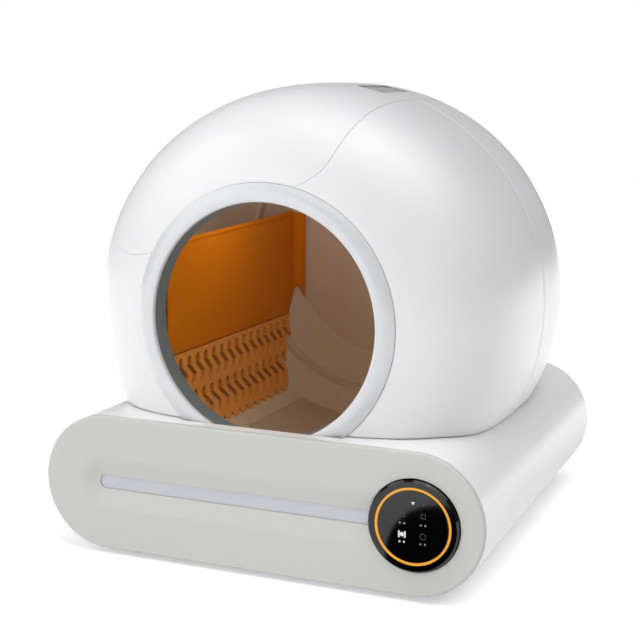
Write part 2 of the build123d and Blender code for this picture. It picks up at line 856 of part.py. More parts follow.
def make_rollers():
    """Rollers, axles and forked brackets, each turned round the drum to its place."""
    half = roller_width / 2
    rollers = []
    axles = []
    brackets = []
    for side in (-1, 1):
        for depth in (roller_front_depth, roller_rear_depth):
            wheel = disc(0, roller_z, roller_radius, depth - half, depth + half)
            wheel = chamfer(wheel.edges().filter_by(GeomType.CIRCLE), roller_edge)
            wheel -= disc(0, roller_z, axle_radius + pin_gap, depth - half, depth + half)
            cheek = half + bracket_play
            edge = cheek + bracket_wall
            pin = disc(0, roller_z, axle_radius, depth - edge, depth + edge)
            pin += disc(0, roller_z, axle_head_radius, depth - edge - axle_head, depth - edge)
            top = drum_z - drum_radius - cradle_gap - cradle_wall - fit_gap
            low = roller_z - roller_radius - bracket_wall
            fork = brick(
                -bracket_width / 2,
                bracket_width / 2,
                behind(depth - edge),
                behind(depth + edge),
                low - bracket_wall,
                top,
            )
            slot_near = behind(depth - cheek)
            slot_far = behind(depth + cheek)
            fork -= brick(-bracket_width, bracket_width, slot_near, slot_far, low, top + overrun)
            fork -= disc(0, drum_z, drum_z - top, depth - edge - overrun, depth + edge + overrun)
            fork -= disc(0, roller_z, axle_radius + pin_gap, depth - edge, depth + edge)
            turn = -side * roller_angle
            rollers.append(wheel.rotate(drum_axis, turn))
            axles.append(pin.rotate(drum_axis, turn))
            brackets.append(fork.rotate(drum_axis, turn))
    return rollers, axles, brackets


def make_cradle():
    """The trough under the drum, hung from the base's top, with its openings."""
    inner = drum_radius + cradle_gap
    outer = inner + cradle_wall
    trough = disc(0, drum_z, outer, cradle_front_depth, cradle_back_depth)
    trough -= disc(0, drum_z, inner, cradle_front_depth, cradle_back_depth)
    trough &= brick(-base_width, base_width, front_y, rear_y, 0, inner_top)
    edge_x = sqrt(inner ** 2 - (drum_z - inner_top) ** 2)
    for side in (-1, 1):
        x_near, x_far = sorted((side * edge_x, side * cradle_edge_x))
        flange = brick(
            x_near,
            x_far,
            behind(cradle_front_depth),
            behind(cradle_back_depth),
            inner_top - cradle_wall,
            inner_top,
        )
        trough += flange - disc(0, drum_z, inner, cradle_front_depth, cradle_back_depth)
    chute_front = behind(port_front_depth)
    chute_back = behind(port_back_depth)
    trough -= brick(-chute_width / 2, chute_width / 2, chute_front, chute_back, 0, drum_z)
    half = roller_width / 2 + bracket_play
    for side in (-1, 1):
        for depth in (roller_front_depth, roller_rear_depth):
            gap = brick(
                -roller_radius - bracket_play * 2,
                roller_radius + bracket_play * 2,
                behind(depth - half),
                behind(depth + half),
                roller_z - roller_radius,
                drum_z,
            )
            trough -= gap.rotate(drum_axis, -side * roller_angle)
    pinion_room = pinion_pitch_radius + gear_module + cradle_gap
    room_back = gear_seat_depth + gear_width + motor_plate * 2 + gearbox_length
    trough -= disc(pinion_x, pinion_z, pinion_room, gear_seat_depth - cradle_gap, room_back)
    return trough


def make_housing():
    """The stadium tube of the base, open at both ends, with the drum's opening on top."""
    housing = slab(stadium(), housing_front_depth, housing_back_depth)
    housing -= slab(stadium(-housing_wall), 0, base_depth + overrun)
    length = base_opening_back_depth - base_opening_front_depth
    opening = extrude(RectangleRounded(base_opening_width, length, base_opening_corner), base_height)
    housing -= Pos(0, behind(base_opening_front_depth + length / 2), base_mid) * opening
    notch_front = ring_front_depth - ring_notch_gap
    notch_end = base_opening_front_depth + base_opening_corner
    housing -= disc(0, ball_z, entry_radius + ring_bead + fit_gap, notch_front, notch_end)
    housing -= disc(0, ball_z, ring_flange_radius + seam_gap, ring_back_depth - seam_gap, notch_end)
    hatch = RectangleRounded(plate_width + 2 * plate_gap, plate_depth + 2 * plate_gap, plate_corner)
    housing -= extrude(hatch, inner_floor)
    for x, y in tab_places():
        side = 1 if x > 0 else -1
        x_near, x_far = sorted((x - side * tab_width / 4, x + side * tab_width * 3 / 4))
        half = tab_length / 2
        tab = brick(x_near, x_far, y - half, y + half, inner_floor, inner_floor + tab_height)
        tab -= Pos(x, y, inner_floor) * Cylinder(screw_radius + fit_gap, tab_height * 3)
        housing += tab
    boss_end = housing_back_depth + rear_cover_thickness - housing_wall
    for x, z in rear_screw_places():
        boss = disc(x, z, boss_radius, housing_back_depth - boss_length, boss_end)
        boss -= disc(x, z, screw_radius + fit_gap, housing_back_depth - boss_length, boss_end)
        housing += boss
    return housing


def tab_places():
    """Screw places of the lugs that hold the bottom plate, close inside its long edges."""
    places = []
    for side in (-1, 1):
        x = side * (plate_width / 2 - tab_width / 4)
        for row in (-1, 0, 1):
            places.append((x, row * (plate_depth / 2 - tab_length * 2)))
    return places


def rear_screw_places():
    """Places of the rear cover's screws, above and below."""
    low = inner_floor + boss_radius - fit_gap
    high = inner_top - boss_radius + fit_gap
    return [(x, z) for x in (-end_x, 0, end_x) for z in (low, high)]


def screw(head_radius, head, radius, length):
    """A pan-head screw that points down -Z, its seat at the origin."""
    body = Pos(0, 0, head / 2) * Cylinder(head_radius, head)
    body = chamfer(body.edges().group_by(Axis.Z)[-1], head / 3)
    return body + Pos(0, 0, -length / 2) * Cylinder(radius, length)


def make_bottom():
    """Bottom plate with its screws, feet and weighing cells."""
    outline = RectangleRounded(plate_width, plate_depth, plate_corner)
    plate = Pos(0, 0, foot_height) * extrude(outline, housing_wall)
    screws = []
    for x, y in tab_places():
        plate -= Pos(x, y, foot_height) * Cylinder(screw_radius + fit_gap, housing_wall * 3)
        turned_screw = Rot(180, 0, 0) * screw(screw_head_radius, screw_head, screw_radius, screw_length)
        screws.append(Pos(x, y, foot_height) * turned_screw)
    feet = []
    cells = []
    for x in (-foot_x, foot_x):
        for y in (-foot_y, foot_y):
            foot = Cylinder(foot_radius, foot_height)
            foot = chamfer(foot.edges().group_by(Axis.Z)[0], foot_chamfer)
            feet.append(Pos(x, y, foot_height / 2) * foot)
            cell = Box(cell_length / 2, cell_length, housing_wall - fit_gap)
            cells.append(Pos(x, y, foot_height + (housing_wall - fit_gap) / 2) * cell)
            seat = Box(cell_length / 2 + 2 * fit_gap, cell_length + 2 * fit_gap, housing_wall)
            plate -= Pos(x, y, foot_height + housing_wall / 2) * seat
    posts = []
    board_x = (tray_right + rail_wall + fit_gap * 2) + circuit_width / 2 + circuit_post_radius * 2
    board_y = behind(frame_front_depth) + circuit_depth
    for dx in (-1, 1):
        for dy in (-1, 1):
            x = board_x + dx * (circuit_width / 2 - circuit_post_radius * 2)
            y = board_y + dy * (circuit_depth / 2 - circuit_post_radius * 2)
            post = Cylinder(circuit_post_radius, circuit_post)
            posts.append(Pos(x, y, inner_floor + circuit_post / 2) * post)
    return plate, screws, feet, cells, posts, board_x, board_y


def make_circuit(board_x, board_y):
    """Control board with its larger parts."""
    low = inner_floor + circuit_post
    sheet = Box(circuit_width, circuit_depth, board_thickness)
    board = Pos(board_x, board_y, low + board_thickness / 2) * sheet
    top = low + board_thickness
    for share_x, share_y, size_share in chip_shares:
        size = circuit_width * size_share
        chip_x = board_x + share_x * circuit_width
        chip_y = board_y + share_y * circuit_depth
        board += Pos(chip_x, chip_y, top + chip_height / 2) * Box(size, size, chip_height)
    return board


def make_front_frame():
    """The plate inside the housing's mouth that the drawer passes through."""
    front = frame_front_depth
    frame = slab(stadium(-housing_wall - fit_gap), front, front + frame_thickness)
    centre = Pos((tray_right - tray_left) / 2, (tray_top + bag_frame_height + tray_floor) / 2)
    width = tray_left + tray_right + 2 * frame_clearance
    height = tray_top + bag_frame_height - tray_floor + 2 * frame_clearance
    frame -= slab(centre * RectangleRounded(width, height, frame_clearance), 0, base_depth / 2)
    cable_hole = disc(display_x, base_mid, display_radius / 4, 0, base_depth / 2)
    return frame - cable_hole


def make_rails():
    """Two angle rails that guide the tray."""
    rails = []
    front = behind(frame_front_depth + frame_thickness + fit_gap)
    back = behind(rail_back_depth)
    for edge, side in ((-tray_left, -1), (tray_right, 1)):
        wall_near = edge + side * slide_gap
        wall_far = wall_near + side * rail_wall
        x_low, x_high = sorted((wall_near, wall_far))
        upright = brick(x_low, x_high, front, back, inner_floor, inner_floor + rail_height)
        x_low, x_high = sorted((wall_near, wall_near - side * rail_ledge))
        ledge = brick(x_low, x_high, front, back, inner_floor, tray_floor - slide_gap)
        x_low, x_high = sorted((wall_far, wall_near - side * rail_ledge))
        stop = brick(x_low, x_high, back, back + rail_wall, inner_floor, inner_floor + rail_height)
        rails.append(upright + ledge + stop)
    return rails


def groove_cut():
    """The dished groove: a soft S-shaped profile along X that ends in a bowl at the left."""
    left = -strip_left + strip_height / 2
    crest = front_y - groove_lip
    slope = Spline(
        (crest, base_mid + groove_reach),
        (front_y + groove_depth / 2, base_mid + groove_reach / 2),
        (front_y + groove_depth, base_mid),
        tangents=((0, -1), (0, -1)),
    )
    ahead = front_y - overrun
    edges = slope + Polyline(
        (front_y + groove_depth, base_mid),
        (ahead, base_mid),
        (ahead, base_mid + groove_reach),
        (crest, base_mid + groove_reach),
    )
    half = Plane.YZ.offset(left) * make_face(edges)
    bowl = revolve(half, Axis((left, 0, base_mid), (0, 1, 0)), 360)
    trough = extrude(half, display_x - left, dir=(1, 0, 0))
    return bowl + trough + mirror(trough, Plane.XY.offset(base_mid))


def strip_outline(inset):
    """The strip's outline: rounded at the left, running under the display at the right."""
    length = strip_left + display_x
    height = strip_height - 2 * inset
    middle = (display_x - strip_left) / 2
    return Pos(middle, base_mid) * SlotOverall(length - 2 * inset, height)


def make_drawer():
    """Drawer front, its strip, and the tray behind it."""
    panel = slab(stadium(), 0, panel_flange)
    panel = fillet(panel.edges().group_by(Axis.Y)[0], panel_edge)
    panel += slab(stadium(-housing_wall - panel_gap), panel_flange, panel_thickness)
    panel -= groove_cut()
    pocket_depth = groove_depth + strip_recess
    panel -= slab(strip_outline(0), -overrun, pocket_depth)
    aperture = display_radius + display_aperture_gap
    panel -= disc(display_x, base_mid, aperture, -overrun, panel_thickness + overrun)
    width = tray_left + tray_right
    column = width / panel_pocket_columns
    low = tray_floor + tray_wall * 2
    row_height = (base_top - housing_wall * 3 - low) / 2
    for index in range(panel_pocket_columns):
        for row in range(2):
            pocket = Pos(-tray_left + column * (index + 1 / 2), low + row_height * (row + 1 / 2))
            pocket = pocket * Rectangle(column - panel_rib, row_height - panel_rib)
            panel -= slab(pocket, panel_thickness - panel_pocket_depth, panel_thickness + overrun)

    strip = slab(strip_outline(fit_gap), pocket_depth - strip_thickness, pocket_depth)
    strip -= disc(display_x, base_mid, aperture, -overrun, panel_thickness + overrun)

    tray, bag_frame = make_tray(width)
    return panel, strip, tray, bag_frame


def make_tray(width):
    """The tray that the drawer front carries, and the frame that holds its bag."""
    depth = tray_back_depth - panel_thickness
    height = tray_top - tray_floor
    centre = Pos((tray_right - tray_left) / 2, behind(panel_thickness + depth / 2), tray_floor)
    corner = tray_corner - tray_wall
    well_floor = RectangleRounded(width - 4 * tray_rim, depth - 4 * tray_rim, corner)
    well_mouth = RectangleRounded(width - 2 * tray_rim, depth - 2 * tray_rim, corner)
    well = loft([Pos(0, 0, tray_wall) * well_floor, Pos(0, 0, height) * well_mouth])
    low_inset = 4 * tray_rim - 2 * tray_wall
    high_inset = 2 * tray_rim - 2 * tray_wall
    tray = loft([
        Plane.XY * RectangleRounded(width - low_inset, depth - low_inset, tray_corner),
        Pos(0, 0, height) * RectangleRounded(width - high_inset, depth - high_inset, tray_corner),
    ])
    tray += Pos(0, 0, height - tray_wall) * extrude(RectangleRounded(width, depth, tray_corner), tray_wall)
    tray -= well
    skid_length = depth - 2 * tray_corner
    for side in (-1, 1):
        wall_x = side * (width / 2 - tray_wall / 2)
        tray += Pos(wall_x, 0, rail_height / 2) * Box(tray_wall, skid_length, rail_height)
        skid_x = side * (width / 2 - tray_rim)
        tray += Pos(skid_x, 0, tray_wall / 2) * Box(2 * tray_rim, skid_length, tray_wall)
    tray += Pos(0, -depth / 2 + tray_wall / 2, height / 2) * Box(width - 2 * tray_corner, tray_wall, height)

    frame = RectangleRounded(width - tray_wall, depth - tray_wall, tray_corner)
    frame -= RectangleRounded(width - 2 * bag_frame_width, depth - 2 * bag_frame_width, tray_corner)
    bag_frame = centre * (Pos(0, 0, height) * extrude(frame, bag_frame_height))
    return centre * tray, bag_frame


def make_display():
    """The round display: cup, glass, light ring and board."""
    front = -display_proud
    seat = front + lens_thickness
    floor = seat + display_wall
    light_inner_radius = light_outer_radius - light_band
    cup = disc(display_x, base_mid, display_radius, front, frame_front_depth)
    cup = chamfer(cup.edges().group_by(Axis.Y)[0], display_bevel)
    cup -= disc(display_x, base_mid, light_outer_radius + fit_gap, front - overrun, seat)
    cup -= disc(display_x, base_mid, light_inner_radius, front, floor)
    cup -= disc(display_x, base_mid, display_radius - display_wall, floor, frame_front_depth)
    ring = disc(display_x, base_mid, light_outer_radius, front, seat)
    ring -= disc(display_x, base_mid, light_inner_radius, front, seat)
    lens_radius = light_inner_radius - fit_gap
    lens = disc(display_x, base_mid, lens_radius, front, seat)
    lens += disc(display_x, base_mid, lens_radius - fit_gap, seat, floor)
    board_radius = display_radius - display_wall - fit_gap
    board = disc(display_x, base_mid, board_radius, floor, floor + board_thickness)
    return cup, lens, ring, board


def make_rear():
    """Rear cover with vents, its screws and the power inlet."""
    front = housing_back_depth
    back = base_depth + rear_cover_proud
    cover = slab(stadium(-seam_gap), front, back)
    cover = fillet(cover.edges().group_by(Axis.Y)[-1], panel_edge)
    rim_front = front - rear_cover_thickness
    rim = slab(stadium(-housing_wall - fit_gap), rim_front, front)
    rim -= slab(stadium(-housing_wall * 2 - fit_gap), rim_front - overrun, front)
    cover += rim
    boss_end = front + rear_cover_thickness - housing_wall
    cover -= slab(stadium(-housing_wall * 2 - fit_gap), front - overrun, boss_end)
    first = -vent_pitch * (vent_count - 1) / 2 - vent_pitch * 2
    vents = []
    for index in range(vent_count):
        vent = SlotOverall(vent_length, vent_width, rotation=90)
        vents.append(Pos(first + index * vent_pitch, base_mid) * vent)
    cover -= slab(Sketch() + vents, front - overrun, back + overrun)
    cover -= disc(inlet_side, inlet_height, inlet_body_radius + fit_gap, front - overrun, back + overrun)
    seat_radius = inlet_flange_radius + fit_gap
    cover -= disc(inlet_side, inlet_height, seat_radius, back - inlet_flange, back + overrun)

    screws = []
    for x, z in rear_screw_places():
        one = screw(screw_head_radius, screw_head, screw_radius, screw_length)
        place = Plane(origin=(x, behind(back - screw_head), z), x_dir=(1, 0, 0), z_dir=(0, 1, 0))
        screws.append(place * one)
        cover -= disc(x, z, screw_radius + fit_gap, front - overrun, back + overrun)
        cover -= disc(x, z, screw_head_radius + fit_gap, back - screw_head, back + overrun)
        cover -= disc(x, z, boss_radius + fit_gap, front - overrun, boss_end)

    flange_front = back - inlet_flange
    inlet = disc(inlet_side, inlet_height, inlet_body_radius, flange_front - inlet_body_length, flange_front)
    inlet += disc(inlet_side, inlet_height, inlet_flange_radius, flange_front, back)
    inlet -= disc(inlet_side, inlet_height, inlet_bore_radius, back - inlet_depth, back + overrun)
    inlet += disc(inlet_side, inlet_height, inlet_pin_radius, back - inlet_depth, back - inlet_flange / 2)
    return cover, screws, inlet


def save(shape, name):
    """Write one node."""
    if isinstance(shape, list):
        shape = Compound(children=shape)
    export_step(shape, f"parts/{name}.step")


housing = make_housing()
plate, plate_screws, feet, cells, posts, board_x, board_y = make_bottom()
for post in posts:
    plate += post
rear_cover, rear_screws, inlet = make_rear()
front_left, front_right, rear_shell, top_cover = make_shells()
grip_hole, grip_pocket, grip_flap, grip_pin = make_grip()
ring, sleeve = make_entry()
drum_front, drum_rear = make_drum()
liner, divider, sieve = make_inside()
ring_gear, pinion, shaft = make_gears()
bracket, motor = make_motor()
rollers, axles, forks = make_rollers()
panel, strip, tray, bag_frame = make_drawer()
cup, lens, light, display_board = make_display()

save(housing, "base_housing")
save(plate, "bottom_plate")
save(plate_screws, "bottom_screws")
save(feet, "rubber_feet")
save(cells, "load_cells")
save(rear_cover, "rear_cover")
save(rear_screws, "rear_screws")
save(inlet, "power_inlet")
save(make_front_frame(), "front_frame")
save(make_rails(), "drawer_rails")
save(make_circuit(board_x, board_y), "control_board")
save(make_plinth(), "shell_plinth")
save(front_left, "front_shell_left")
save(front_right, "front_shell_right")
save(rear_shell, "rear_shell")
save(top_cover - grip_hole, "top_cover")
save(grip_pocket, "grip_pocket")
save(grip_flap, "grip_flap")
save(grip_pin, "grip_pin")
save(ring, "entry_ring")
save(sleeve, "entry_tunnel")
save(drum_front, "drum_front")
save(drum_rear, "drum_rear")
save(liner, "drum_liner")
save(divider, "divider")
save(sieve, "sieve")
save(ring_gear, "ring_gear")
save(pinion, "drive_pinion")
save(shaft, "motor_shaft")
save(motor, "gear_motor")
save(bracket, "motor_bracket")
for number, roller in enumerate(rollers, 1):
    save(roller, f"support_roller_{number}")
save(axles, "roller_axles")
save(forks, "roller_brackets")
save(make_cradle(), "cradle")
save(panel, "drawer_front")
save(strip, "drawer_strip")
save(tray, "drawer_tray")
save(bag_frame, "bag_frame")
save(cup, "display_pod")
save(lens, "display_lens")
save(light, "light_ring")
save(display_board, "display_board")
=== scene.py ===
"""The looks of a self cleaning litter box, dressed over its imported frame. Lengths are in metres."""
import json
import math

import bmesh
import bpy
from mathutils import Matrix, Vector

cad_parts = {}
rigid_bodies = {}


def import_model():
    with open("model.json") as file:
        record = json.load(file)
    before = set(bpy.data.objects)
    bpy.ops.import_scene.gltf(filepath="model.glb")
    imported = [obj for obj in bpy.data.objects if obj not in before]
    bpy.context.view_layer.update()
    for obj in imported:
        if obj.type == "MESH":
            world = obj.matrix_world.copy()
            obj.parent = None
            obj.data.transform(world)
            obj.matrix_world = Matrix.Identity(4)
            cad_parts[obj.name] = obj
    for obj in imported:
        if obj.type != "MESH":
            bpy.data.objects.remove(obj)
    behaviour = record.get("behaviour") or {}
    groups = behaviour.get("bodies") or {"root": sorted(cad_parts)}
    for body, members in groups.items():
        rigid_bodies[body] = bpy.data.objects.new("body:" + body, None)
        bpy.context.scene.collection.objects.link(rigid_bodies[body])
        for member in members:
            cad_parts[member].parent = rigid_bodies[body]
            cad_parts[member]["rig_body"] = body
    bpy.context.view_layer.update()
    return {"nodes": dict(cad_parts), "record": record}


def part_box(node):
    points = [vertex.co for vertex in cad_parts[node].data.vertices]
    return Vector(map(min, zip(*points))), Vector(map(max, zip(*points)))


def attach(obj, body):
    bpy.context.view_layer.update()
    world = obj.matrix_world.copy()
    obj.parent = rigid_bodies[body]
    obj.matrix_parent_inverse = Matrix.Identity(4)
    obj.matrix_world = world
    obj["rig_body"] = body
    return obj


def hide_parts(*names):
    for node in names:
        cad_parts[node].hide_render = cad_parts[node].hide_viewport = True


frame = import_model()

MM = 0.001

# The base, and places that follow from it
BASE_WIDTH = 520 * MM
BASE_HEIGHT = 155 * MM
BASE_DEPTH = 520 * MM
FOOT_HEIGHT = 6 * MM
FRONT_Y = -BASE_DEPTH / 2
BASE_TOP = FOOT_HEIGHT + BASE_HEIGHT
BASE_MID = FOOT_HEIGHT + BASE_HEIGHT / 2
END_X = (BASE_WIDTH - BASE_HEIGHT) / 2

# The ball: two superellipses turned about a level axis, the rear one with a flat back
BALL_RADIUS = 255.7 * MM
BALL_Z = BASE_TOP + 115 * MM
BALL_MID_DEPTH = 314 * MM
BALL_REACH = 292 * MM
BALL_POWER = 4.49
REAR_MID_DEPTH = 294 * MM
REAR_REACH = 226 * MM
REAR_POWER = 2.4
REAR_EDGE_RADIUS = 150 * MM
REAR_FLAT_RADIUS = 132 * MM
REAR_FLAT_STEP = 7 * MM
REAR_EDGE_SHARES = (0.4, 0.75, 0.93, 1.0)
SHELL_WALL = 3 * MM
SHELL_EDGE = 0.5 * MM
SEAM = 0.35 * MM
SIDE_SEAM = 0.9 * MM
SIDE_SEAM_DEPTH = 245 * MM
SHELL_BASE_GAP = 0.8 * MM
SHELL_REAR_LIFT = 13 * MM

# The top cover's seams: angles in degrees, up from the right
COVER_RIGHT = 67.9
COVER_LEFT = 159.5
COVER_REAR_DEPTH = 400 * MM
RIGHT_FLARE = 9.0
LEFT_FLARE = 6.9
RIGHT_FLARE_RADIUS = 195 * MM
LEFT_FLARE_RADIUS = 195 * MM
RIGHT_FLARE_POWER = 2.6
LEFT_FLARE_POWER = 2.4

# The hole for the grip in the top cover
GRIP_ANGLE = math.radians(77.5)
GRIP_MID_DEPTH = 247 * MM
GRIP_LENGTH = 100 * MM
GRIP_WIDTH = 34 * MM
GRIP_CORNER = 5 * MM
GRIP_CUT = 20 * MM

# The entry ring and sleeve
ENTRY_RADIUS = 130 * MM
RING_BEAD = 20.5 * MM
RING_FRONT_DEPTH = 21.5 * MM
RING_INNER_DEPTH = 23.5 * MM
RING_OUTER_DEPTH = 27 * MM
RING_CROWN_DEPTH = 22.3 * MM
RING_EDGE = 2 * MM
RING_LIP_DEPTH = 26.5 * MM
RING_BACK_DEPTH = 42 * MM
RING_SPIGOT = 3.5 * MM
RING_FLANGE_RADIUS = 158 * MM
RING_FLANGE = 2.5 * MM
TUNNEL_WALL = 2.5 * MM
TUNNEL_TAPER = 2 * MM
TUNNEL_BACK_DEPTH = 47 * MM
FIT_GAP = 0.3 * MM

# The drum inside the ball, and its divider
DRUM_Z = BALL_Z + 30 * MM
DRUM_RADIUS = 212 * MM
DRUM_WALL = 3 * MM
DRUM_LIP = 4 * MM
MOUTH_RADIUS = 172 * MM
MOUTH_DEPTH = 64 * MM
SWELL_DEPTH = 179.9 * MM
SWELL_POWER = 2.3
SWELL_WALL_SHARE = 1.05
SWELL_CLEAR_SHARE = 1.1
STRAIGHT_END_DEPTH = 345 * MM
SHOULDER_RADIUS = 186 * MM
SEAT_RADIUS = 180 * MM
SEAT_DEPTH = 386 * MM
SEAT_LENGTH = 16 * MM
KNEE_DEPTH = 413 * MM
KNEE_RADIUS = 170 * MM
DRUM_BACK_DEPTH = 435 * MM
DRUM_BACK_RADIUS = 140 * MM
DRUM_BACK_HOLE = 1 * MM
PORT_ANGLES = (118, 152)
PORT_DEPTHS = (202.9 * MM, 326 * MM)
PORT_CUT = 20 * MM
DIVIDER_SIDE = 0.646 * DRUM_RADIUS
DIVIDER_DROP = 0.4057 * DRUM_RADIUS
DIVIDER_FRONT_DEPTH = 66 * MM
DIVIDER_WALL = 3 * MM
DIVIDER_EDGE = 0.8 * MM
DIVIDER_BEAD = 3.2 * MM
DIVIDER_TOP_FRONT = 348.5 * MM
DIVIDER_TOP_REAR = 356.5 * MM
DIVIDER_BEND = 12 * MM
DIVIDER_BEND_DEPTH = 416 * MM
DIVIDER_RETURN = 4 * MM

# The display: glass, ring of light and marks, placed from its middle
DISPLAY_X = END_X + 2.1 * MM
DISPLAY_PROUD = 4.5 * MM
LENS_SINK = 0.1 * MM
LENS_EDGE = 0.4 * MM
LENS_EDGE_SHARE = 0.3
BAND_WIDTH = 2.4 * MM
BAND_EDGE = 0.3 * MM
BAND_CUT = 0.7 * MM
MARK_THICKNESS = 0.06 * MM
MARK_LINE = 0.7 * MM
MARK_COLUMN = 11.3 * MM
DOT_STEP = 4.8 * MM
DOT_RADIUS = 1.05 * MM
BAR_WIDTH = 1.8 * MM
BAR_HEIGHT = 7.2 * MM
BAR_STEP = 6.4 * MM
DISC_RADIUS = 2.3 * MM
SIGN_RADIUS = 3.6 * MM
CIRCLE_RADIUS = 3.4 * MM
LEFT_TIP_RADIUS = 1.2 * MM
RIGHT_TIP_RADIUS = 1.3 * MM
MIDDLE_TIP_Z = 25.5 * MM
SIDE_TIP_Z = 25 * MM
SQUARE_Z = 12.5 * MM
TRIANGLE_Z = 11.5 * MM
UPPER_DOTS_Z = 3 * MM
LOWER_SIGN_Z = -9 * MM
LOWER_DOTS_Z = -17 * MM

# How finely the pieces are divided, and where smooth shading breaks, in degrees
BALL_STEPS = 64
RIGHT_COLUMNS = 72
LEFT_COLUMNS = 56
COVER_COLUMNS = 84
REAR_SIDE_COLUMNS = 40
REAR_TOP_COLUMNS = 48
CORNER_STEPS = 8
ENTRY_COLUMNS = 240
RING_EDGE_STEPS = 6
RING_FACE_STEPS = 14
DRUM_COLUMNS = 200
SWELL_STEPS = 28
LIP_SIDES = 16
PORT_STEPS = 12
DIVIDER_STEPS = 30
DIVIDER_BEND_STEPS = 8
DIVIDER_ROWS = 12
BEAD_SIDES = 14
LENS_COLUMNS = 128
BAND_COLUMNS = 160
DISC_SIDES = 20
CIRCLE_SIDES = 28
FLAG_SIDES = 96
EDGE_SEGMENTS = 3
EDGE_ANGLE = 50
HALVINGS = 40
ROW_CLEAR = 0.4 * MM
MERGE_DISTANCE = 0.001 * MM
PACKED_SHARP = 28
PIECE_SHARP = 35
LENS_SHARP = 12
BAND_SHARP = 30

# Material textures that all plastics share
MOTTLE_SCALE = 14.0
MOTTLE_DETAIL = 4.0
GRAIN_DETAIL = 2.0
GRAIN_RELIEF = 0.2 * MM
ROUGH_SWAY = 0.05
ROUGH_LEAST = 0.02
GUIDE_SHARE = 0.06
GUIDE_ROUGH = 0.35
GLOW = 0.9

# The floor and its fade to white, and the black card that the glass mirrors
FLOOR_HALF = 6.0
FLOOR_NEAR = 0.42
FLOOR_FAR = 0.9
FLOOR_GLOW_NEAR = 0.35
FLOOR_GLOW_FAR = 1.0
FLOOR_ALBEDO = 0.9
FLOOR_ROUGH = 0.9
SURROUND_TINT = (0.96, 0.97, 1.0, 1.0)
SURROUND_LIGHT = 0.12
FLAG_X = 41 * MM
FLAG_Z = -35 * MM
FLAG_REACH = 70 * MM
FLAG_RISE = 62 * MM
FLAG_POWER = 2.2
FLAG_LOWEST = 4 * MM
FLAG_HEIGHT = 1 * MM
FLAG_ALBEDO = 0.004

# Wide, distant lamps: name, azimuth to the right from the front, elevation, strength
SUN_SPREAD = 45
SUN_DISTANCE = 3.0
SUNS = (
    ("front_low", -30, 7, 1.1),
    ("left", -60, 32, 0.80),
    ("right_high", 60, 60, 0.66),
    ("back_high", 120, 60, 0.76),
    ("front_high", 0, 60, 0.45),
    ("top", 0, 88, 0.6),
)

# Soft boxes in the drum: name, place and target as x, depth and height over the axis, size, watts
SOFT_BOXES = (
    ("inner", (0.09, 0.09, -0.02), (-0.2, 0.24, 0.0), 0.16, 0.072),
    ("inner_top", (-0.02, 0.17, 0.13), (-0.17, 0.22, 0.08), 0.08, 0.13),
)

# The photograph's view
VIEW_TARGET = Vector((78.28, -260.0, 289.89)) * MM
VIEW_AZIMUTH = math.radians(22.39)
VIEW_ELEVATION = math.radians(9.91)
VIEW_ROLL = 0.0096
VIEW_DISTANCE = 1366.69 * MM
VIEW_FOCAL_PIXELS = 1327.91
PHOTO_PIXELS = 640
SENSOR_WIDTH = 36.0
CLIP_START = 0.01


def behind(depth):
    """The y of a place at this depth behind the front face."""
    return FRONT_Y + depth


def spread(low, high, count):
    """Evenly spaced values from low to high."""
    return [low + (high - low) * step / count for step in range(count + 1)]


def circle_angles(count, turn=0.0):
    """Evenly spaced angles of a whole circle."""
    return [turn + 2 * math.pi * step / count for step in range(count)]


def superellipse(share, power):
    """The height of a unit superellipse at this share of its reach."""
    return max(1 - share ** power, 0.0) ** (1 / power)


# Materials

def new_material(name):
    """A material with its node tree and its shader."""
    material = bpy.data.materials.new(name)
    material.use_nodes = True
    tree = material.node_tree
    return material, tree, tree.nodes["Principled BSDF"]


def node_of(tree, kind, sockets=(), **values):
    """A shader node with its own values and those of its sockets set."""
    made = tree.nodes.new(kind)
    for key, value in values.items():
        setattr(made, key, value)
    for key, value in dict(sockets).items():
        made.inputs[key].default_value = value
    return made


def plastic(name, colour, rough, mottle=0.03, grain=900.0, bump=0.08, **extra):
    """Moulded plastic: a faint mottle in the colour, a fine grain and an uneven gloss."""
    material, tree, shader = new_material(name)
    place = node_of(tree, "ShaderNodeTexCoord")
    broad = node_of(tree, "ShaderNodeTexNoise", {"Scale": MOTTLE_SCALE, "Detail": MOTTLE_DETAIL})
    fine = node_of(tree, "ShaderNodeTexNoise", {"Scale": grain, "Detail": GRAIN_DETAIL})
    for texture in (broad, fine):
        tree.links.new(place.outputs["Object"], texture.inputs["Vector"])
    dark = [c * (1.0 - mottle) for c in colour]
    mix = node_of(tree, "ShaderNodeMix", {"A": (*dark, 1.0), "B": (*colour, 1.0)}, data_type="RGBA")
    tree.links.new(broad.outputs["Fac"], mix.inputs["Factor"])
    tree.links.new(mix.outputs["Result"], shader.inputs["Base Color"])
    gloss = {"To Min": max(rough - ROUGH_SWAY, ROUGH_LEAST), "To Max": rough + ROUGH_SWAY}
    span = node_of(tree, "ShaderNodeMapRange", gloss)
    tree.links.new(fine.outputs["Fac"], span.inputs["Value"])
    tree.links.new(span.outputs["Result"], shader.inputs["Roughness"])
    relief = node_of(tree, "ShaderNodeBump", {"Strength": bump, "Distance": GRAIN_RELIEF})
    tree.links.new(fine.outputs["Fac"], relief.inputs["Height"])
    tree.links.new(relief.outputs["Normal"], shader.inputs["Normal"])
    for key, value in extra.items():
        shader.inputs[key.replace("_", " ")].default_value = value
    return material


def linear(red, green, blue):
    """An sRGB colour, 0 to 255, as the shader's linear values."""
    values = []
    for part in (red, green, blue):
        share = part / 255
        values.append(share / 12.92 if share <= 0.04045 else ((share + 0.055) / 1.055) ** 2.4)
    return tuple(values)


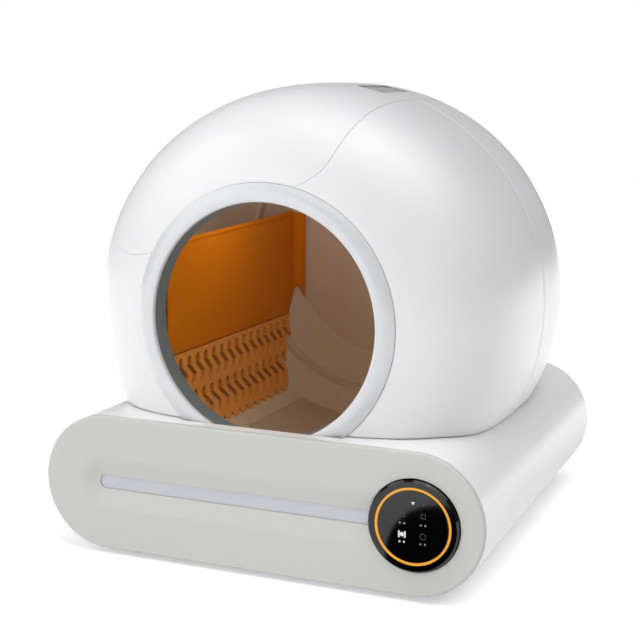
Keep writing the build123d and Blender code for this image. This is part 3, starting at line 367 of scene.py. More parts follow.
def brushed(name, colour, rough):
    """Turned or plated metal with a strong fine grain."""
    return plastic(name, colour, rough, mottle=0.12, grain=500.0, bump=0.15, Metallic=1.0)


def glowing(name, colour):
    """A light guide: a dim body that gives off its colour."""
    body = [part * GUIDE_SHARE for part in colour]
    return plastic(name, body, GUIDE_ROUGH, Emission_Color=(*colour, 1.0), Emission_Strength=GLOW)


white = plastic(
    "white_gloss", linear(235, 235, 236), 0.34, mottle=0.008, bump=0.03, Coat_Weight=0.15, Coat_Roughness=0.2
)
base_white = plastic(
    "base_gloss", linear(243, 242, 242), 0.36, mottle=0.008, bump=0.03, Coat_Weight=0.12, Coat_Roughness=0.2
)
ring_white = plastic(
    "ring_gloss", linear(216, 217, 220), 0.30, mottle=0.01, bump=0.03, Coat_Weight=0.5, Coat_Roughness=0.15
)
panel_grey = plastic("panel_grey", linear(201, 202, 197), 0.5, mottle=0.015, grain=1200.0)
grip_grey = plastic("grip_grey", linear(176, 176, 174), 0.5, mottle=0.02, grain=1200.0)
strip_grey = plastic("strip_lavender", linear(198, 198, 206), 0.42, mottle=0.02, grain=1200.0, bump=0.06)
tunnel_grey = plastic("sleeve_grey", linear(112, 120, 120), 0.5, mottle=0.06, grain=700.0, bump=0.12)
tan = plastic("drum_tan", linear(214, 194, 168), 0.55, mottle=0.05, grain=600.0, bump=0.12)
liner_tan = plastic("liner_tan", linear(192, 172, 146), 0.7, mottle=0.06, grain=500.0, bump=0.2)
orange = plastic(
    "orange_matt", linear(220, 121, 2), 0.5, mottle=0.06, grain=700.0, bump=0.1, Specular_IOR_Level=0.2
)
sieve_orange = plastic("sieve_orange", linear(240, 158, 70), 0.45, mottle=0.05, grain=700.0, bump=0.1)
nylon = plastic("nylon", linear(226, 222, 208), 0.5, mottle=0.05)
frame_grey = plastic("frame_grey", linear(150, 152, 152), 0.55, mottle=0.04)
tray_grey = plastic("tray_grey", linear(104, 106, 106), 0.55, mottle=0.05)
black = plastic("black_gloss", linear(5, 5, 6), 0.08, mottle=0.2, bump=0.005)
glass = plastic("black_glass", linear(4, 4, 5), 0.06, mottle=0.2, bump=0.002)
amber = glowing("amber_light", linear(243, 168, 56))
mark_bright = glowing("mark_bright", linear(225, 225, 225))
mark_middle = glowing("mark_middle", linear(140, 140, 140))
mark_dim = glowing("mark_dim", linear(62, 62, 62))
rubber = plastic("rubber", linear(38, 38, 38), 0.8, mottle=0.2, grain=400.0, bump=0.3)
steel = brushed("turned_steel", linear(180, 180, 182), 0.35)
zinc = brushed("plated_steel", linear(205, 205, 210), 0.28)
board = plastic("solder_mask", linear(24, 92, 52), 0.4, mottle=0.2)
moulded_black = plastic("moulded_black", linear(26, 26, 26), 0.5, mottle=0.2)

MATERIAL_OF_SLOT = {
    "shell_white": white,
    "base_white": base_white,
    "panel_grey": panel_grey,
    "grip_grey": grip_grey,
    "strip_lavender": strip_grey,
    "tunnel_grey": tunnel_grey,
    "drum_tan": tan,
    "liner_tan": liner_tan,
    "sieve_orange": sieve_orange,
    "gear_nylon": nylon,
    "tray_grey": tray_grey,
    "frame_grey": frame_grey,
    "display_black": black,
    "display_glass": glass,
    "light_amber": amber,
    "rubber_dark": rubber,
    "steel": steel,
    "zinc": zinc,
    "board_green": board,
    "inlet_black": moulded_black,
}
SLOT_OF_NODE = {row["node"]: row["material_slot"] for row in frame["record"]["subparts"]}


# Mesh helpers

def smooth(mesh, sharp):
    """Smooth shading that breaks at edges sharper than an angle in degrees."""
    mesh.polygons.foreach_set("use_smooth", [True] * len(mesh.polygons))
    mesh.set_sharp_from_angle(angle=math.radians(sharp))


def dress_frame():
    """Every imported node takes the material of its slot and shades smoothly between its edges."""
    for name, node in frame["nodes"].items():
        node.data.materials.clear()
        node.data.materials.append(MATERIAL_OF_SLOT[SLOT_OF_NODE[name]])
        smooth(node.data, PACKED_SHARP)


def linked(name, points, faces):
    """A new mesh object in the scene."""
    mesh = bpy.data.meshes.new(name)
    mesh.from_pydata(points, [], faces)
    made = bpy.data.objects.new(name, mesh)
    bpy.context.scene.collection.objects.link(made)
    return made


def piece(name, points, faces, material, node):
    """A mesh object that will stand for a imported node."""
    made = linked(name, points, faces)
    made.data.validate()
    made.data.materials.append(material)
    made["stands_for"] = node
    return made


def settle(made, sharp=PIECE_SHARP):
    """Smooth shading, and the piece takes its node's place and body."""
    smooth(made.data, sharp)
    node = made["stands_for"]
    body = frame["nodes"][node]["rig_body"]
    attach(made, body)
    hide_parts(node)


def bake_modifiers(made):
    """The piece's mesh as its modifiers leave it."""
    graph = bpy.context.evaluated_depsgraph_get()
    done = bpy.data.meshes.new_from_object(made.evaluated_get(graph))
    made.modifiers.clear()
    made.data = done


def thicken(made, wall, offset=-1.0, even=True):
    """Gives a sheet its wall: inwards, or half to each side with an offset of 0."""
    solid = made.modifiers.new("wall", "SOLIDIFY")
    solid.thickness = wall
    solid.offset = offset
    solid.use_even_offset = even
    bake_modifiers(made)


def soften(made, width):
    """Rounds the piece's edges."""
    bevel = made.modifiers.new("edge", "BEVEL")
    bevel.width = width
    bevel.segments = EDGE_SEGMENTS
    bevel.limit_method = "ANGLE"
    bevel.angle_limit = math.radians(EDGE_ANGLE)
    bake_modifiers(made)


def face_outward(made, centre):
    """Turns the faces of an open sheet so that they look away from a centre."""
    mesh = made.data
    total = sum((Vector(p.center) - centre).dot(p.normal) * p.area for p in mesh.polygons)
    if total < 0:
        mesh.flip_normals()


def close_faces(made):
    """Makes the faces of a closed mesh look outward."""
    work = bmesh.new()
    work.from_mesh(made.data)
    bmesh.ops.remove_doubles(work, verts=work.verts, dist=MERGE_DISTANCE)
    bmesh.ops.recalc_face_normals(work, faces=work.faces)
    work.to_mesh(made.data)
    work.free()


def drop_loose_corners(made):
    """Deletes the corners that no face uses, and makes the faces agree."""
    work = bmesh.new()
    work.from_mesh(made.data)
    loose = [v for v in work.verts if not v.link_faces]
    bmesh.ops.delete(work, geom=loose, context="VERTS")
    bmesh.ops.recalc_face_normals(work, faces=work.faces)
    work.to_mesh(made.data)
    work.free()


def grid_faces(rows, columns, closed_rows=False, closed_columns=False):
    """Quads over a grid of points stored row by row."""
    faces = []
    for r in range(rows if closed_rows else rows - 1):
        for c in range(columns if closed_columns else columns - 1):
            r2 = (r + 1) % rows
            c2 = (c + 1) % columns
            faces.append((r * columns + c, r * columns + c2, r2 * columns + c2, r2 * columns + c))
    return faces


def capped_faces(rows, columns):
    """Faces of a tube of rings with both ends capped."""
    last = (rows - 1) * columns
    caps = [tuple(range(columns)), tuple(reversed(range(last, last + columns)))]
    return grid_faces(rows, columns, closed_columns=True) + caps


def cutter_between(name, near, far):
    """A closed cutter between two outlines that have as many corners."""
    count = len(near)
    faces = [(i, (i + 1) % count, count + (i + 1) % count, count + i) for i in range(count)]
    faces += [tuple(reversed(range(count))), tuple(range(count, 2 * count))]
    made = linked(name, near + far, faces)
    close_faces(made)
    return made


def cut(made, cutter):
    """Takes a closed cutter out of a closed piece."""
    knife = made.modifiers.new("cut", "BOOLEAN")
    knife.operation = "DIFFERENCE"
    knife.solver = "EXACT"
    knife.object = cutter
    bake_modifiers(made)
    bpy.data.objects.remove(cutter)


# The ball

def ball_point(depth, radius, angle):
    """A place at a radius and angle about the ball's axis."""
    return Vector((radius * math.cos(angle), behind(depth), BALL_Z + radius * math.sin(angle)))


BALL_CENTRE = Vector((0, behind(BALL_MID_DEPTH), BALL_Z))


def ball_radius(depth):
    """The ball's radius at a depth behind the front face."""
    if depth < REAR_MID_DEPTH:
        return BALL_RADIUS * superellipse(abs(depth - BALL_MID_DEPTH) / BALL_REACH, BALL_POWER)
    return BALL_RADIUS * superellipse((depth - REAR_MID_DEPTH) / REAR_REACH, REAR_POWER)


def front_edge_depth():
    """The depth where the shell meets the entry ring."""
    radius = ENTRY_RADIUS + RING_BEAD + SEAM
    return BALL_MID_DEPTH - BALL_REACH * superellipse(radius / BALL_RADIUS, BALL_POWER)


def rear_edge_depth():
    """The depth where the ball turns into its flat back."""
    return REAR_MID_DEPTH + REAR_REACH * superellipse(REAR_EDGE_RADIUS / BALL_RADIUS, REAR_POWER)


def ball_rows(first, last):
    """Depths from first to last, close together where the ball curves most."""
    depths = []
    for angle in spread(0.0, math.pi / 2, BALL_STEPS):
        front = BALL_MID_DEPTH - BALL_REACH * math.cos(angle) ** (2 / BALL_POWER)
        rear = REAR_MID_DEPTH + REAR_REACH * math.sin(angle) ** (2 / REAR_POWER)
        if front < REAR_MID_DEPTH:
            depths.append(front)
        depths.append(rear)
    inside = sorted(d for d in depths if first + ROW_CLEAR < d < last - ROW_CLEAR)
    return [first] + inside + [last]


def foot_angle(depth, radius):
    """The angle below level where the ball's right side meets its gap over the base, in radians."""
    lift = max(depth - SIDE_SEAM_DEPTH, 0.0) * SHELL_REAR_LIFT / (BASE_DEPTH - SIDE_SEAM_DEPTH)
    middle = BASE_MID + lift
    reach = BASE_HEIGHT / 2 + SHELL_BASE_GAP
    high, low = 0.0, -math.pi / 2
    for _ in range(HALVINGS):
        angle = (high + low) / 2
        x = radius * math.cos(angle)
        z = BALL_Z + radius * math.sin(angle)
        away = math.hypot(max(x - END_X, 0.0), z - middle)
        if away > reach:
            high = angle
        else:
            low = angle
    return high


def seam_angle(radius, side, shift):
    """The top cover's seam at a radius, right (1) or left (-1), moved into the cover by a shift."""
    ray = COVER_RIGHT if side > 0 else COVER_LEFT
    flare = RIGHT_FLARE if side > 0 else -LEFT_FLARE
    end = RIGHT_FLARE_RADIUS if side > 0 else LEFT_FLARE_RADIUS
    power = RIGHT_FLARE_POWER if side > 0 else LEFT_FLARE_POWER
    share = max(end - radius, 0.0) / (end - ENTRY_RADIUS - RING_BEAD)
    return math.radians(ray + flare * share ** power) + side * shift / radius


def sheet_between(name, node, depths, low_angle, high_angle, columns):
    """A walled sheet of the ball between two angles that may change with depth and radius."""
    points = []
    for depth in depths:
        radius = ball_radius(depth)
        for angle in spread(low_angle(depth, radius), high_angle(depth, radius), columns):
            points.append(ball_point(depth, radius, angle))
    made = piece(name, points, grid_faces(len(depths), columns + 1), white, node)
    face_outward(made, BALL_CENTRE)
    thicken(made, SHELL_WALL)
    return made


def make_front_shells():
    """The front shell's right and left parts, from the foot up to the cover's seams."""
    depths = ball_rows(front_edge_depth(), SIDE_SEAM_DEPTH - SIDE_SEAM / 2)
    right = sheet_between(
        "front_shell_right_skin",
        "front_shell_right",
        depths,
        foot_angle,
        lambda d, r: seam_angle(r, 1, 0),
        RIGHT_COLUMNS,
    )
    left = sheet_between(
        "front_shell_left_skin",
        "front_shell_left",
        depths,
        lambda d, r: seam_angle(r, -1, 0),
        lambda d, r: math.pi - foot_angle(d, r),
        LEFT_COLUMNS,
    )
    for made in (right, left):
        soften(made, SHELL_EDGE)
        settle(made)


def make_top_cover():
    """The cover between its two seams, with the hole for the grip."""
    depths = ball_rows(front_edge_depth(), COVER_REAR_DEPTH - SEAM)
    cover = sheet_between(
        "top_cover_skin",
        "top_cover",
        depths,
        lambda d, r: seam_angle(r, 1, SEAM),
        lambda d, r: seam_angle(r, -1, SEAM),
        COVER_COLUMNS,
    )
    cut(cover, grip_cutter())
    soften(cover, SHELL_EDGE)
    settle(cover)


def make_rear_shell():
    """The rear shell: two side bands beside the cover, a full band behind it and a flat back."""
    depths = ball_rows(SIDE_SEAM_DEPTH + SIDE_SEAM / 2, COVER_REAR_DEPTH)
    notch_row = len(depths) - 1
    depths += ball_rows(COVER_REAR_DEPTH, rear_edge_depth())[1:]
    rows = [(depth, ball_radius(depth)) for depth in depths]
    edge_depth = depths[-1]
    for share in REAR_EDGE_SHARES:
        turn = share * math.pi / 2
        radius = REAR_EDGE_RADIUS - (REAR_EDGE_RADIUS - REAR_FLAT_RADIUS) * (1 - math.cos(turn))
        rows.append((edge_depth + REAR_FLAT_STEP * math.sin(turn), radius))
    right, left = math.radians(COVER_RIGHT), math.radians(COVER_LEFT)
    points = []
    for depth, radius in rows:
        low = foot_angle(depth, radius)
        angles = spread(low, right, REAR_SIDE_COLUMNS) + spread(right, left, REAR_TOP_COLUMNS)[1:]
        angles += spread(left, math.pi - low, REAR_SIDE_COLUMNS)[1:]
        points += [ball_point(depth, radius, angle) for angle in angles]
    columns = 2 * REAR_SIDE_COLUMNS + REAR_TOP_COLUMNS + 1
    faces = []
    for index, face in enumerate(grid_faces(len(rows), columns)):
        row, column = divmod(index, columns - 1)
        beside_notch = column < REAR_SIDE_COLUMNS or column >= REAR_SIDE_COLUMNS + REAR_TOP_COLUMNS
        if row >= notch_row or beside_notch:
            faces.append(face)
    last = (len(rows) - 1) * columns
    faces.append(tuple(range(last, last + columns)))
    made = piece("rear_shell_skin", points, faces, white, "rear_shell")
    drop_loose_corners(made)
    face_outward(made, BALL_CENTRE)
    thicken(made, SHELL_WALL)
    soften(made, SHELL_EDGE)
    settle(made)


# The grip

def rounded_outline(length, width, corner):
    """A rounded rectangle's corners, counter-clockwise."""
    points = []
    for quarter in range(4):
        sx = 1 if quarter in (0, 3) else -1
        sy = 1 if quarter in (0, 1) else -1
        cx = sx * (length / 2 - corner)
        cy = sy * (width / 2 - corner)
        for step in range(CORNER_STEPS + 1):
            angle = math.pi / 2 * (quarter + step / CORNER_STEPS)
            points.append((cx + corner * math.cos(angle), cy + corner * math.sin(angle)))
    return points


def grip_cutter():
    """The hole that the grip's pocket fills."""
    out = Vector((math.cos(GRIP_ANGLE), 0, math.sin(GRIP_ANGLE)))
    along = Vector((0, 1, 0))
    across = out.cross(along)
    origin = ball_point(GRIP_MID_DEPTH, BALL_RADIUS, GRIP_ANGLE)
    outline = rounded_outline(GRIP_LENGTH, GRIP_WIDTH, GRIP_CORNER)
    ends = []
    for height in (-GRIP_CUT, GRIP_CUT):
        ends.append([origin + along * x + across * y + out * height for x, y in outline])
    return cutter_between("grip_cutter", *ends)


# The entry

def whole_circle(profile, columns, name, node, material, axis_z=BALL_Z):
    """A closed profile of depth and radius carried all round a level axis."""
    lift = Vector((0, 0, axis_z - BALL_Z))
    points = []
    for depth, radius in profile:
        points += [ball_point(depth, radius, angle) + lift for angle in circle_angles(columns)]
    faces = grid_faces(len(profile), columns, closed_rows=True, closed_columns=True)
    made = piece(name, points, faces, material, node)
    close_faces(made)
    return made


def arc_through(first, middle, last, steps):
    """Points of the circular arc through three places."""
    (ax, ay), (bx, by), (cx, cy) = first, middle, last
    scale = 2 * (ax * (by - cy) + bx * (cy - ay) + cx * (ay - by))
    a2, b2, c2 = ax * ax + ay * ay, bx * bx + by * by, cx * cx + cy * cy
    x = (a2 * (by - cy) + b2 * (cy - ay) + c2 * (ay - by)) / scale
    y = (a2 * (cx - bx) + b2 * (ax - cx) + c2 * (bx - ax)) / scale
    radius = math.hypot(ax - x, ay - y)
    start = math.atan2(ay - y, ax - x)
    turn = math.atan2(cy - y, cx - x) - start
    turn = (turn + math.pi) % (2 * math.pi) - math.pi
    angles = spread(start, start + turn, steps)
    return [(x + radius * math.cos(angle), y + radius * math.sin(angle)) for angle in angles]


def make_ring():
    """The ring, with its rounded inner edge and crowned face."""
    outer = ENTRY_RADIUS + RING_BEAD
    edge = ENTRY_RADIUS + RING_EDGE
    nook = RING_EDGE * (1 - math.sqrt(0.5))
    inner_edge = (RING_INNER_DEPTH, ENTRY_RADIUS)
    edge_middle = (RING_FRONT_DEPTH + nook, ENTRY_RADIUS + nook)
    face_start = (RING_FRONT_DEPTH, edge)
    crown = (RING_CROWN_DEPTH, (edge + outer) / 2)
    profile = arc_through(inner_edge, edge_middle, face_start, RING_EDGE_STEPS)
    profile += arc_through(face_start, crown, (RING_OUTER_DEPTH, outer), RING_FACE_STEPS)[1:]
    profile += [
        (RING_BACK_DEPTH, outer),
        (RING_BACK_DEPTH, RING_FLANGE_RADIUS),
        (RING_BACK_DEPTH + RING_FLANGE, RING_FLANGE_RADIUS),
        (RING_BACK_DEPTH + RING_FLANGE, ENTRY_RADIUS + RING_SPIGOT),
        (RING_LIP_DEPTH, ENTRY_RADIUS + RING_SPIGOT),
        (RING_LIP_DEPTH, ENTRY_RADIUS),
    ]
    settle(whole_circle(profile, ENTRY_COLUMNS, "entry_ring_bead", "entry_ring", ring_white))


def make_sleeve():
    """The sleeve behind the ring, with a rim at its back."""
    wide = ENTRY_RADIUS + FIT_GAP
    narrow = wide - TUNNEL_TAPER
    rim = TUNNEL_BACK_DEPTH - TUNNEL_WALL
    profile = [
        (RING_LIP_DEPTH + FIT_GAP, wide),
        (RING_LIP_DEPTH + FIT_GAP, wide + TUNNEL_WALL),
        (rim, narrow + TUNNEL_WALL),
        (rim, narrow + 2 * TUNNEL_WALL),
        (TUNNEL_BACK_DEPTH, narrow + 2 * TUNNEL_WALL),
        (TUNNEL_BACK_DEPTH, narrow),
    ]
    settle(whole_circle(profile, ENTRY_COLUMNS, "entry_sleeve", "entry_tunnel", tunnel_grey))


# The drum and its divider

DRUM_REAR_PROFILE = (
    (SWELL_DEPTH, DRUM_RADIUS),
    (STRAIGHT_END_DEPTH, DRUM_RADIUS),
    (SEAT_DEPTH, SHOULDER_RADIUS),
    (SEAT_DEPTH, SEAT_RADIUS),
    (SEAT_DEPTH + SEAT_LENGTH, SEAT_RADIUS),
    (KNEE_DEPTH, KNEE_RADIUS),
    (DRUM_BACK_DEPTH, DRUM_BACK_RADIUS),
)


def drum_inside(clear):
    """The rear half's profile moved inwards, and forwards too from the seat on."""
    moved = []
    for depth, radius in DRUM_REAR_PROFILE:
        moved.append((depth - clear if depth >= SEAT_DEPTH else depth, radius - clear))
    return moved


def swell_radius(depth):
    """The drum's outer radius in its swelling front."""
    reach = (SWELL_DEPTH - MOUTH_DEPTH) / superellipse(MOUTH_RADIUS / DRUM_RADIUS, SWELL_POWER)
    return DRUM_RADIUS * superellipse((SWELL_DEPTH - depth) / reach, SWELL_POWER)


def room_radius(depth):
    """The radius of the space inside the drum, a little clear of its wall."""
    clear = DRUM_WALL + FIT_GAP
    if depth < SWELL_DEPTH:
        return swell_radius(depth) - SWELL_CLEAR_SHARE * clear
    places = drum_inside(clear)
    for (near, first), (far, last) in zip(places, places[1:]):
        if near <= depth <= far and far > near:
            return first + (last - first) * (depth - near) / (far - near)
    return places[-1][1]


def make_drum_front():
    """The swelling front half with a bead round its mouth."""
    depths = spread(MOUTH_DEPTH, SWELL_DEPTH, SWELL_STEPS)
    outer = [(depth, swell_radius(depth)) for depth in depths]
    inner = [(depth, swell_radius(depth) - SWELL_WALL_SHARE * DRUM_WALL) for depth in reversed(depths)]
    front = whole_circle(outer + inner, DRUM_COLUMNS, "drum_front_skin", "drum_front", tan, DRUM_Z)
    lip = []
    for angle in circle_angles(LIP_SIDES):
        depth = MOUTH_DEPTH + DRUM_WALL / 2 + DRUM_LIP * math.cos(angle)
        lip.append((depth, MOUTH_RADIUS - DRUM_WALL + DRUM_LIP * math.sin(angle)))
    rim = whole_circle(lip, DRUM_COLUMNS, "drum_lip_bead", "drum_front", tan, DRUM_Z)
    for made in (front, rim):
        settle(made)


def port_cutter():
    """The slice that opens the waste port."""
    low, high = (math.radians(angle) for angle in PORT_ANGLES)
    outline = [(DRUM_RADIUS - PORT_CUT, angle) for angle in spread(low, high, PORT_STEPS)]
    outline += [(DRUM_RADIUS + PORT_CUT, angle) for angle in spread(high, low, PORT_STEPS)]
    lift = Vector((0, 0, DRUM_Z - BALL_Z))
    ends = []
    for depth in PORT_DEPTHS:
        ends.append([ball_point(depth, radius, angle) + lift for radius, angle in outline])
    return cutter_between("port_cutter", *ends)


def make_drum_rear():
    """The rear half, stepped for the ring gear, with the waste port."""
    outer = [*DRUM_REAR_PROFILE, (DRUM_BACK_DEPTH, DRUM_BACK_HOLE)]
    inner = [(DRUM_BACK_DEPTH - DRUM_WALL, DRUM_BACK_HOLE), *reversed(drum_inside(DRUM_WALL))]
    rear = whole_circle(outer + inner, DRUM_COLUMNS, "drum_rear_skin", "drum_rear", tan, DRUM_Z)
    cut(rear, port_cutter())
    settle(rear)


def divider_top(depth):
    """The height of the divider's top edge, which rises a little to the rear."""
    share = (depth - DIVIDER_FRONT_DEPTH) / (DRUM_BACK_DEPTH - DIVIDER_FRONT_DEPTH)
    return DIVIDER_TOP_FRONT + (DIVIDER_TOP_REAR - DIVIDER_TOP_FRONT) * share


def divider_path():
    """The divider's middle line seen from above: straight, with a rounded return at the rear."""
    depths = spread(DIVIDER_FRONT_DEPTH, DIVIDER_BEND_DEPTH, DIVIDER_STEPS)
    path = [(-DIVIDER_SIDE, depth) for depth in depths]
    for turn in spread(0.0, math.pi / 2, DIVIDER_BEND_STEPS)[1:]:
        x = -DIVIDER_SIDE + DIVIDER_BEND * (1 - math.cos(turn))
        path.append((x, DIVIDER_BEND_DEPTH + DIVIDER_BEND * math.sin(turn)))
    path.append((path[-1][0] + DIVIDER_RETURN, path[-1][1]))
    return path


def make_divider_sheet():
    """The upright sheet, cut to the drum's room."""
    points = []
    path = divider_path()
    for x, depth in path:
        reach = room_radius(depth + DIVIDER_WALL / 2) ** 2 - (abs(x) + DIVIDER_WALL / 2) ** 2
        half = math.sqrt(max(reach, 0.0))
        low = DRUM_Z - min(DIVIDER_DROP, half)
        high = min(divider_top(depth), DRUM_Z + half)
        points += [Vector((x, behind(depth), z)) for z in spread(low, high, DIVIDER_ROWS)]
    made = piece("divider_sheet", points, grid_faces(len(path), DIVIDER_ROWS + 1), orange, "divider")
    face_outward(made, Vector((-DRUM_RADIUS, behind(SEAT_DEPTH), DRUM_Z)))
    thicken(made, DIVIDER_WALL, offset=0.0, even=False)
    soften(made, DIVIDER_EDGE)
    settle(made)


def make_divider_bead():
    """The bead along the sheet's top edge."""
    straight = [place for place in divider_path() if place[1] <= DIVIDER_BEND_DEPTH]
    points = []
    for x, depth in straight:
        for angle in circle_angles(BEAD_SIDES):
            z = divider_top(depth) + DIVIDER_BEAD * math.sin(angle)
            points.append(Vector((x + DIVIDER_BEAD * math.cos(angle), behind(depth), z)))
    bead = piece("divider_bead", points, capped_faces(len(straight), BEAD_SIDES), orange, "divider")
    close_faces(bead)
    settle(bead)


# The display

def display_point(x, z, depth):
    """A place to the right of and above the display's middle, at a depth behind the front face."""
    return Vector((DISPLAY_X + x, behind(depth), BASE_MID + z))


def display_rings(profile, columns):
    """Points of a profile of radius and depth carried round the display's middle."""
    points = []
    for radius, depth in profile:
        for angle in circle_angles(columns):
            points.append(display_point(radius * math.cos(angle), radius * math.sin(angle), depth))
    return points


def make_lens():
    """The black glass inside the ring of light."""
    low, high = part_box("display_lens")
    radius = (high[0] - low[0]) / 2 + BAND_CUT
    front = LENS_SINK - DISPLAY_PROUD
    bend = LENS_EDGE * LENS_EDGE_SHARE
    profile = [
        (radius, high[1] - FRONT_Y),
        (radius, front + LENS_EDGE),
        (radius - bend, front + bend),
        (radius - LENS_EDGE, front),
    ]
    points = display_rings(profile, LENS_COLUMNS)
    faces = capped_faces(len(profile), LENS_COLUMNS)
    lens = piece("display_glass_disc", points, faces, glass, "display_lens")
    close_faces(lens)
    settle(lens, sharp=LENS_SHARP)


def make_light_band():
    """The lit ring, with bevelled front edges, around the glass."""
    low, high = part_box("light_ring")
    outer = (high[0] - low[0]) / 2
    inner = outer - BAND_WIDTH
    front = low[1] - FRONT_Y
    back = high[1] - FRONT_Y
    profile = [
        (outer, back),
        (outer, front + BAND_EDGE),
        (outer - BAND_EDGE, front),
        (inner + BAND_EDGE, front),
        (inner, front + BAND_EDGE),
        (inner, back),
    ]
    points = display_rings(profile, BAND_COLUMNS)
    faces = grid_faces(len(profile), BAND_COLUMNS, closed_rows=True, closed_columns=True)
    band = piece("display_light_band", points, faces, amber, "light_ring")
    close_faces(band)
    settle(band, sharp=BAND_SHARP)


def ring_mark(radius, sides, turn=0.0):
    """A closed line with this many sides: a circle, square or triangle."""
    outer, inner = [], []
    for angle in circle_angles(sides, turn):
        outer.append((radius * math.cos(angle), radius * math.sin(angle)))
        inner.append(((radius - MARK_LINE) * math.cos(angle), (radius - MARK_LINE) * math.sin(angle)))
    faces = []
    for step in range(sides):
        after = (step + 1) % sides
        faces.append([outer[step], outer[after], inner[after], inner[step]])
    return faces


def disc_mark(radius, sides=DISC_SIDES, turn=0.0):
    """A filled circle, square or triangle."""
    return [[(radius * math.cos(angle), radius * math.sin(angle)) for angle in circle_angles(sides, turn)]]


def shifted(faces, x, z):
    """Flat faces moved to the right by x and up by z."""
    return [[(u + x, v + z) for u, v in face] for face in faces]


def make_marks(name, faces, material):
    """Thin lit shapes that lie on the glass."""
    front = -DISPLAY_PROUD + (LENS_SINK - MARK_THICKNESS) / 2
    points, tiles = [], []
    for face in faces:
        start = len(points)
        count = len(face)
        for depth in (front, front + MARK_THICKNESS):
            points += [display_point(x, z, depth) for x, z in face]
        tiles.append(tuple(range(start, start + count)))
        tiles.append(tuple(reversed(range(start + count, start + 2 * count))))
        for step in range(count):
            after = (step + 1) % count
            tiles.append((start + step, start + after, start + count + after, start + count + step))
    made = linked(name, points, tiles)
    made.data.materials.append(material)
    close_faces(made)
    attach(made, frame["nodes"]["display_lens"]["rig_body"])


def make_display_marks():
    """Plain shapes: a row of three on top, and four signs with a pair of dots below each."""
    square = math.pi / 4
    upward = math.pi / 2
    dot = disc_mark(DOT_RADIUS)
    dots = shifted(dot, -DOT_STEP / 2, 0) + shifted(dot, DOT_STEP / 2, 0)
    side, rise = BAR_WIDTH / 2, BAR_HEIGHT / 2
    bar = [[(-side, -rise), (side, -rise), (side, rise), (-side, rise)]]
    bars = shifted(bar, -BAR_STEP / 2, 0) + shifted(bar, BAR_STEP / 2, 0) + disc_mark(DISC_RADIUS)
    bright = shifted(bars, -MARK_COLUMN, LOWER_SIGN_Z) + shifted(dots, -MARK_COLUMN, LOWER_DOTS_Z)
    bright += shifted(disc_mark(DISC_RADIUS, 3, -upward), 0, MIDDLE_TIP_Z)
    dim = shifted(ring_mark(SIGN_RADIUS, 4, square), MARK_COLUMN, SQUARE_Z)
    dim += shifted(ring_mark(SIGN_RADIUS, 3, upward), -MARK_COLUMN, TRIANGLE_Z)
    dim += shifted(ring_mark(CIRCLE_RADIUS, CIRCLE_SIDES), MARK_COLUMN, LOWER_SIGN_Z)
    dim += shifted(disc_mark(LEFT_TIP_RADIUS), -MARK_COLUMN, SIDE_TIP_Z)
    dim += shifted(disc_mark(RIGHT_TIP_RADIUS, 4), MARK_COLUMN, SIDE_TIP_Z)
    middle = shifted(dots, -MARK_COLUMN, UPPER_DOTS_Z) + shifted(dots, MARK_COLUMN, UPPER_DOTS_Z)
    middle += shifted(dots, MARK_COLUMN, LOWER_DOTS_Z)
    make_marks("display_marks_bright", bright, mark_bright)
    make_marks("display_marks_middle", middle, mark_middle)
    make_marks("display_marks_dim", dim, mark_dim)


# Stage, light and camera

def make_floor():
    """A pale floor that fades to white."""
    near, far = -FLOOR_HALF, FLOOR_HALF
    floor = linked("floor", [(near, near, 0), (far, near, 0), (far, far, 0), (near, far, 0)], [(0, 1, 2, 3)])
    material, tree, shader = new_material("floor_white")
    shader.inputs["Base Color"].default_value = (FLOOR_ALBEDO, FLOOR_ALBEDO, FLOOR_ALBEDO, 1.0)
    shader.inputs["Roughness"].default_value = FLOOR_ROUGH
    shader.inputs["Emission Color"].default_value = (1.0, 1.0, 1.0, 1.0)
    path = node_of(tree, "ShaderNodeLightPath")
    seen = node_of(tree, "ShaderNodeMath", operation="MAXIMUM")
    tree.links.new(path.outputs["Is Camera Ray"], seen.inputs[0])
    tree.links.new(path.outputs["Is Glossy Ray"], seen.inputs[1])
    place = node_of(tree, "ShaderNodeTexCoord")
    distance = node_of(tree, "ShaderNodeVectorMath", operation="LENGTH")
    tree.links.new(place.outputs["Object"], distance.inputs[0])
    limits = {"From Min": FLOOR_NEAR, "From Max": FLOOR_FAR}
    limits.update({"To Min": FLOOR_GLOW_NEAR, "To Max": FLOOR_GLOW_FAR})
    fade = node_of(tree, "ShaderNodeMapRange", limits)
    tree.links.new(distance.outputs["Value"], fade.inputs["Value"])
    scale = node_of(tree, "ShaderNodeMath", operation="MULTIPLY")
    tree.links.new(fade.outputs["Result"], scale.inputs[1])
    tree.links.new(seen.outputs["Value"], scale.inputs[0])
    tree.links.new(scale.outputs["Value"], shader.inputs["Emission Strength"])
    floor.data.materials.append(material)


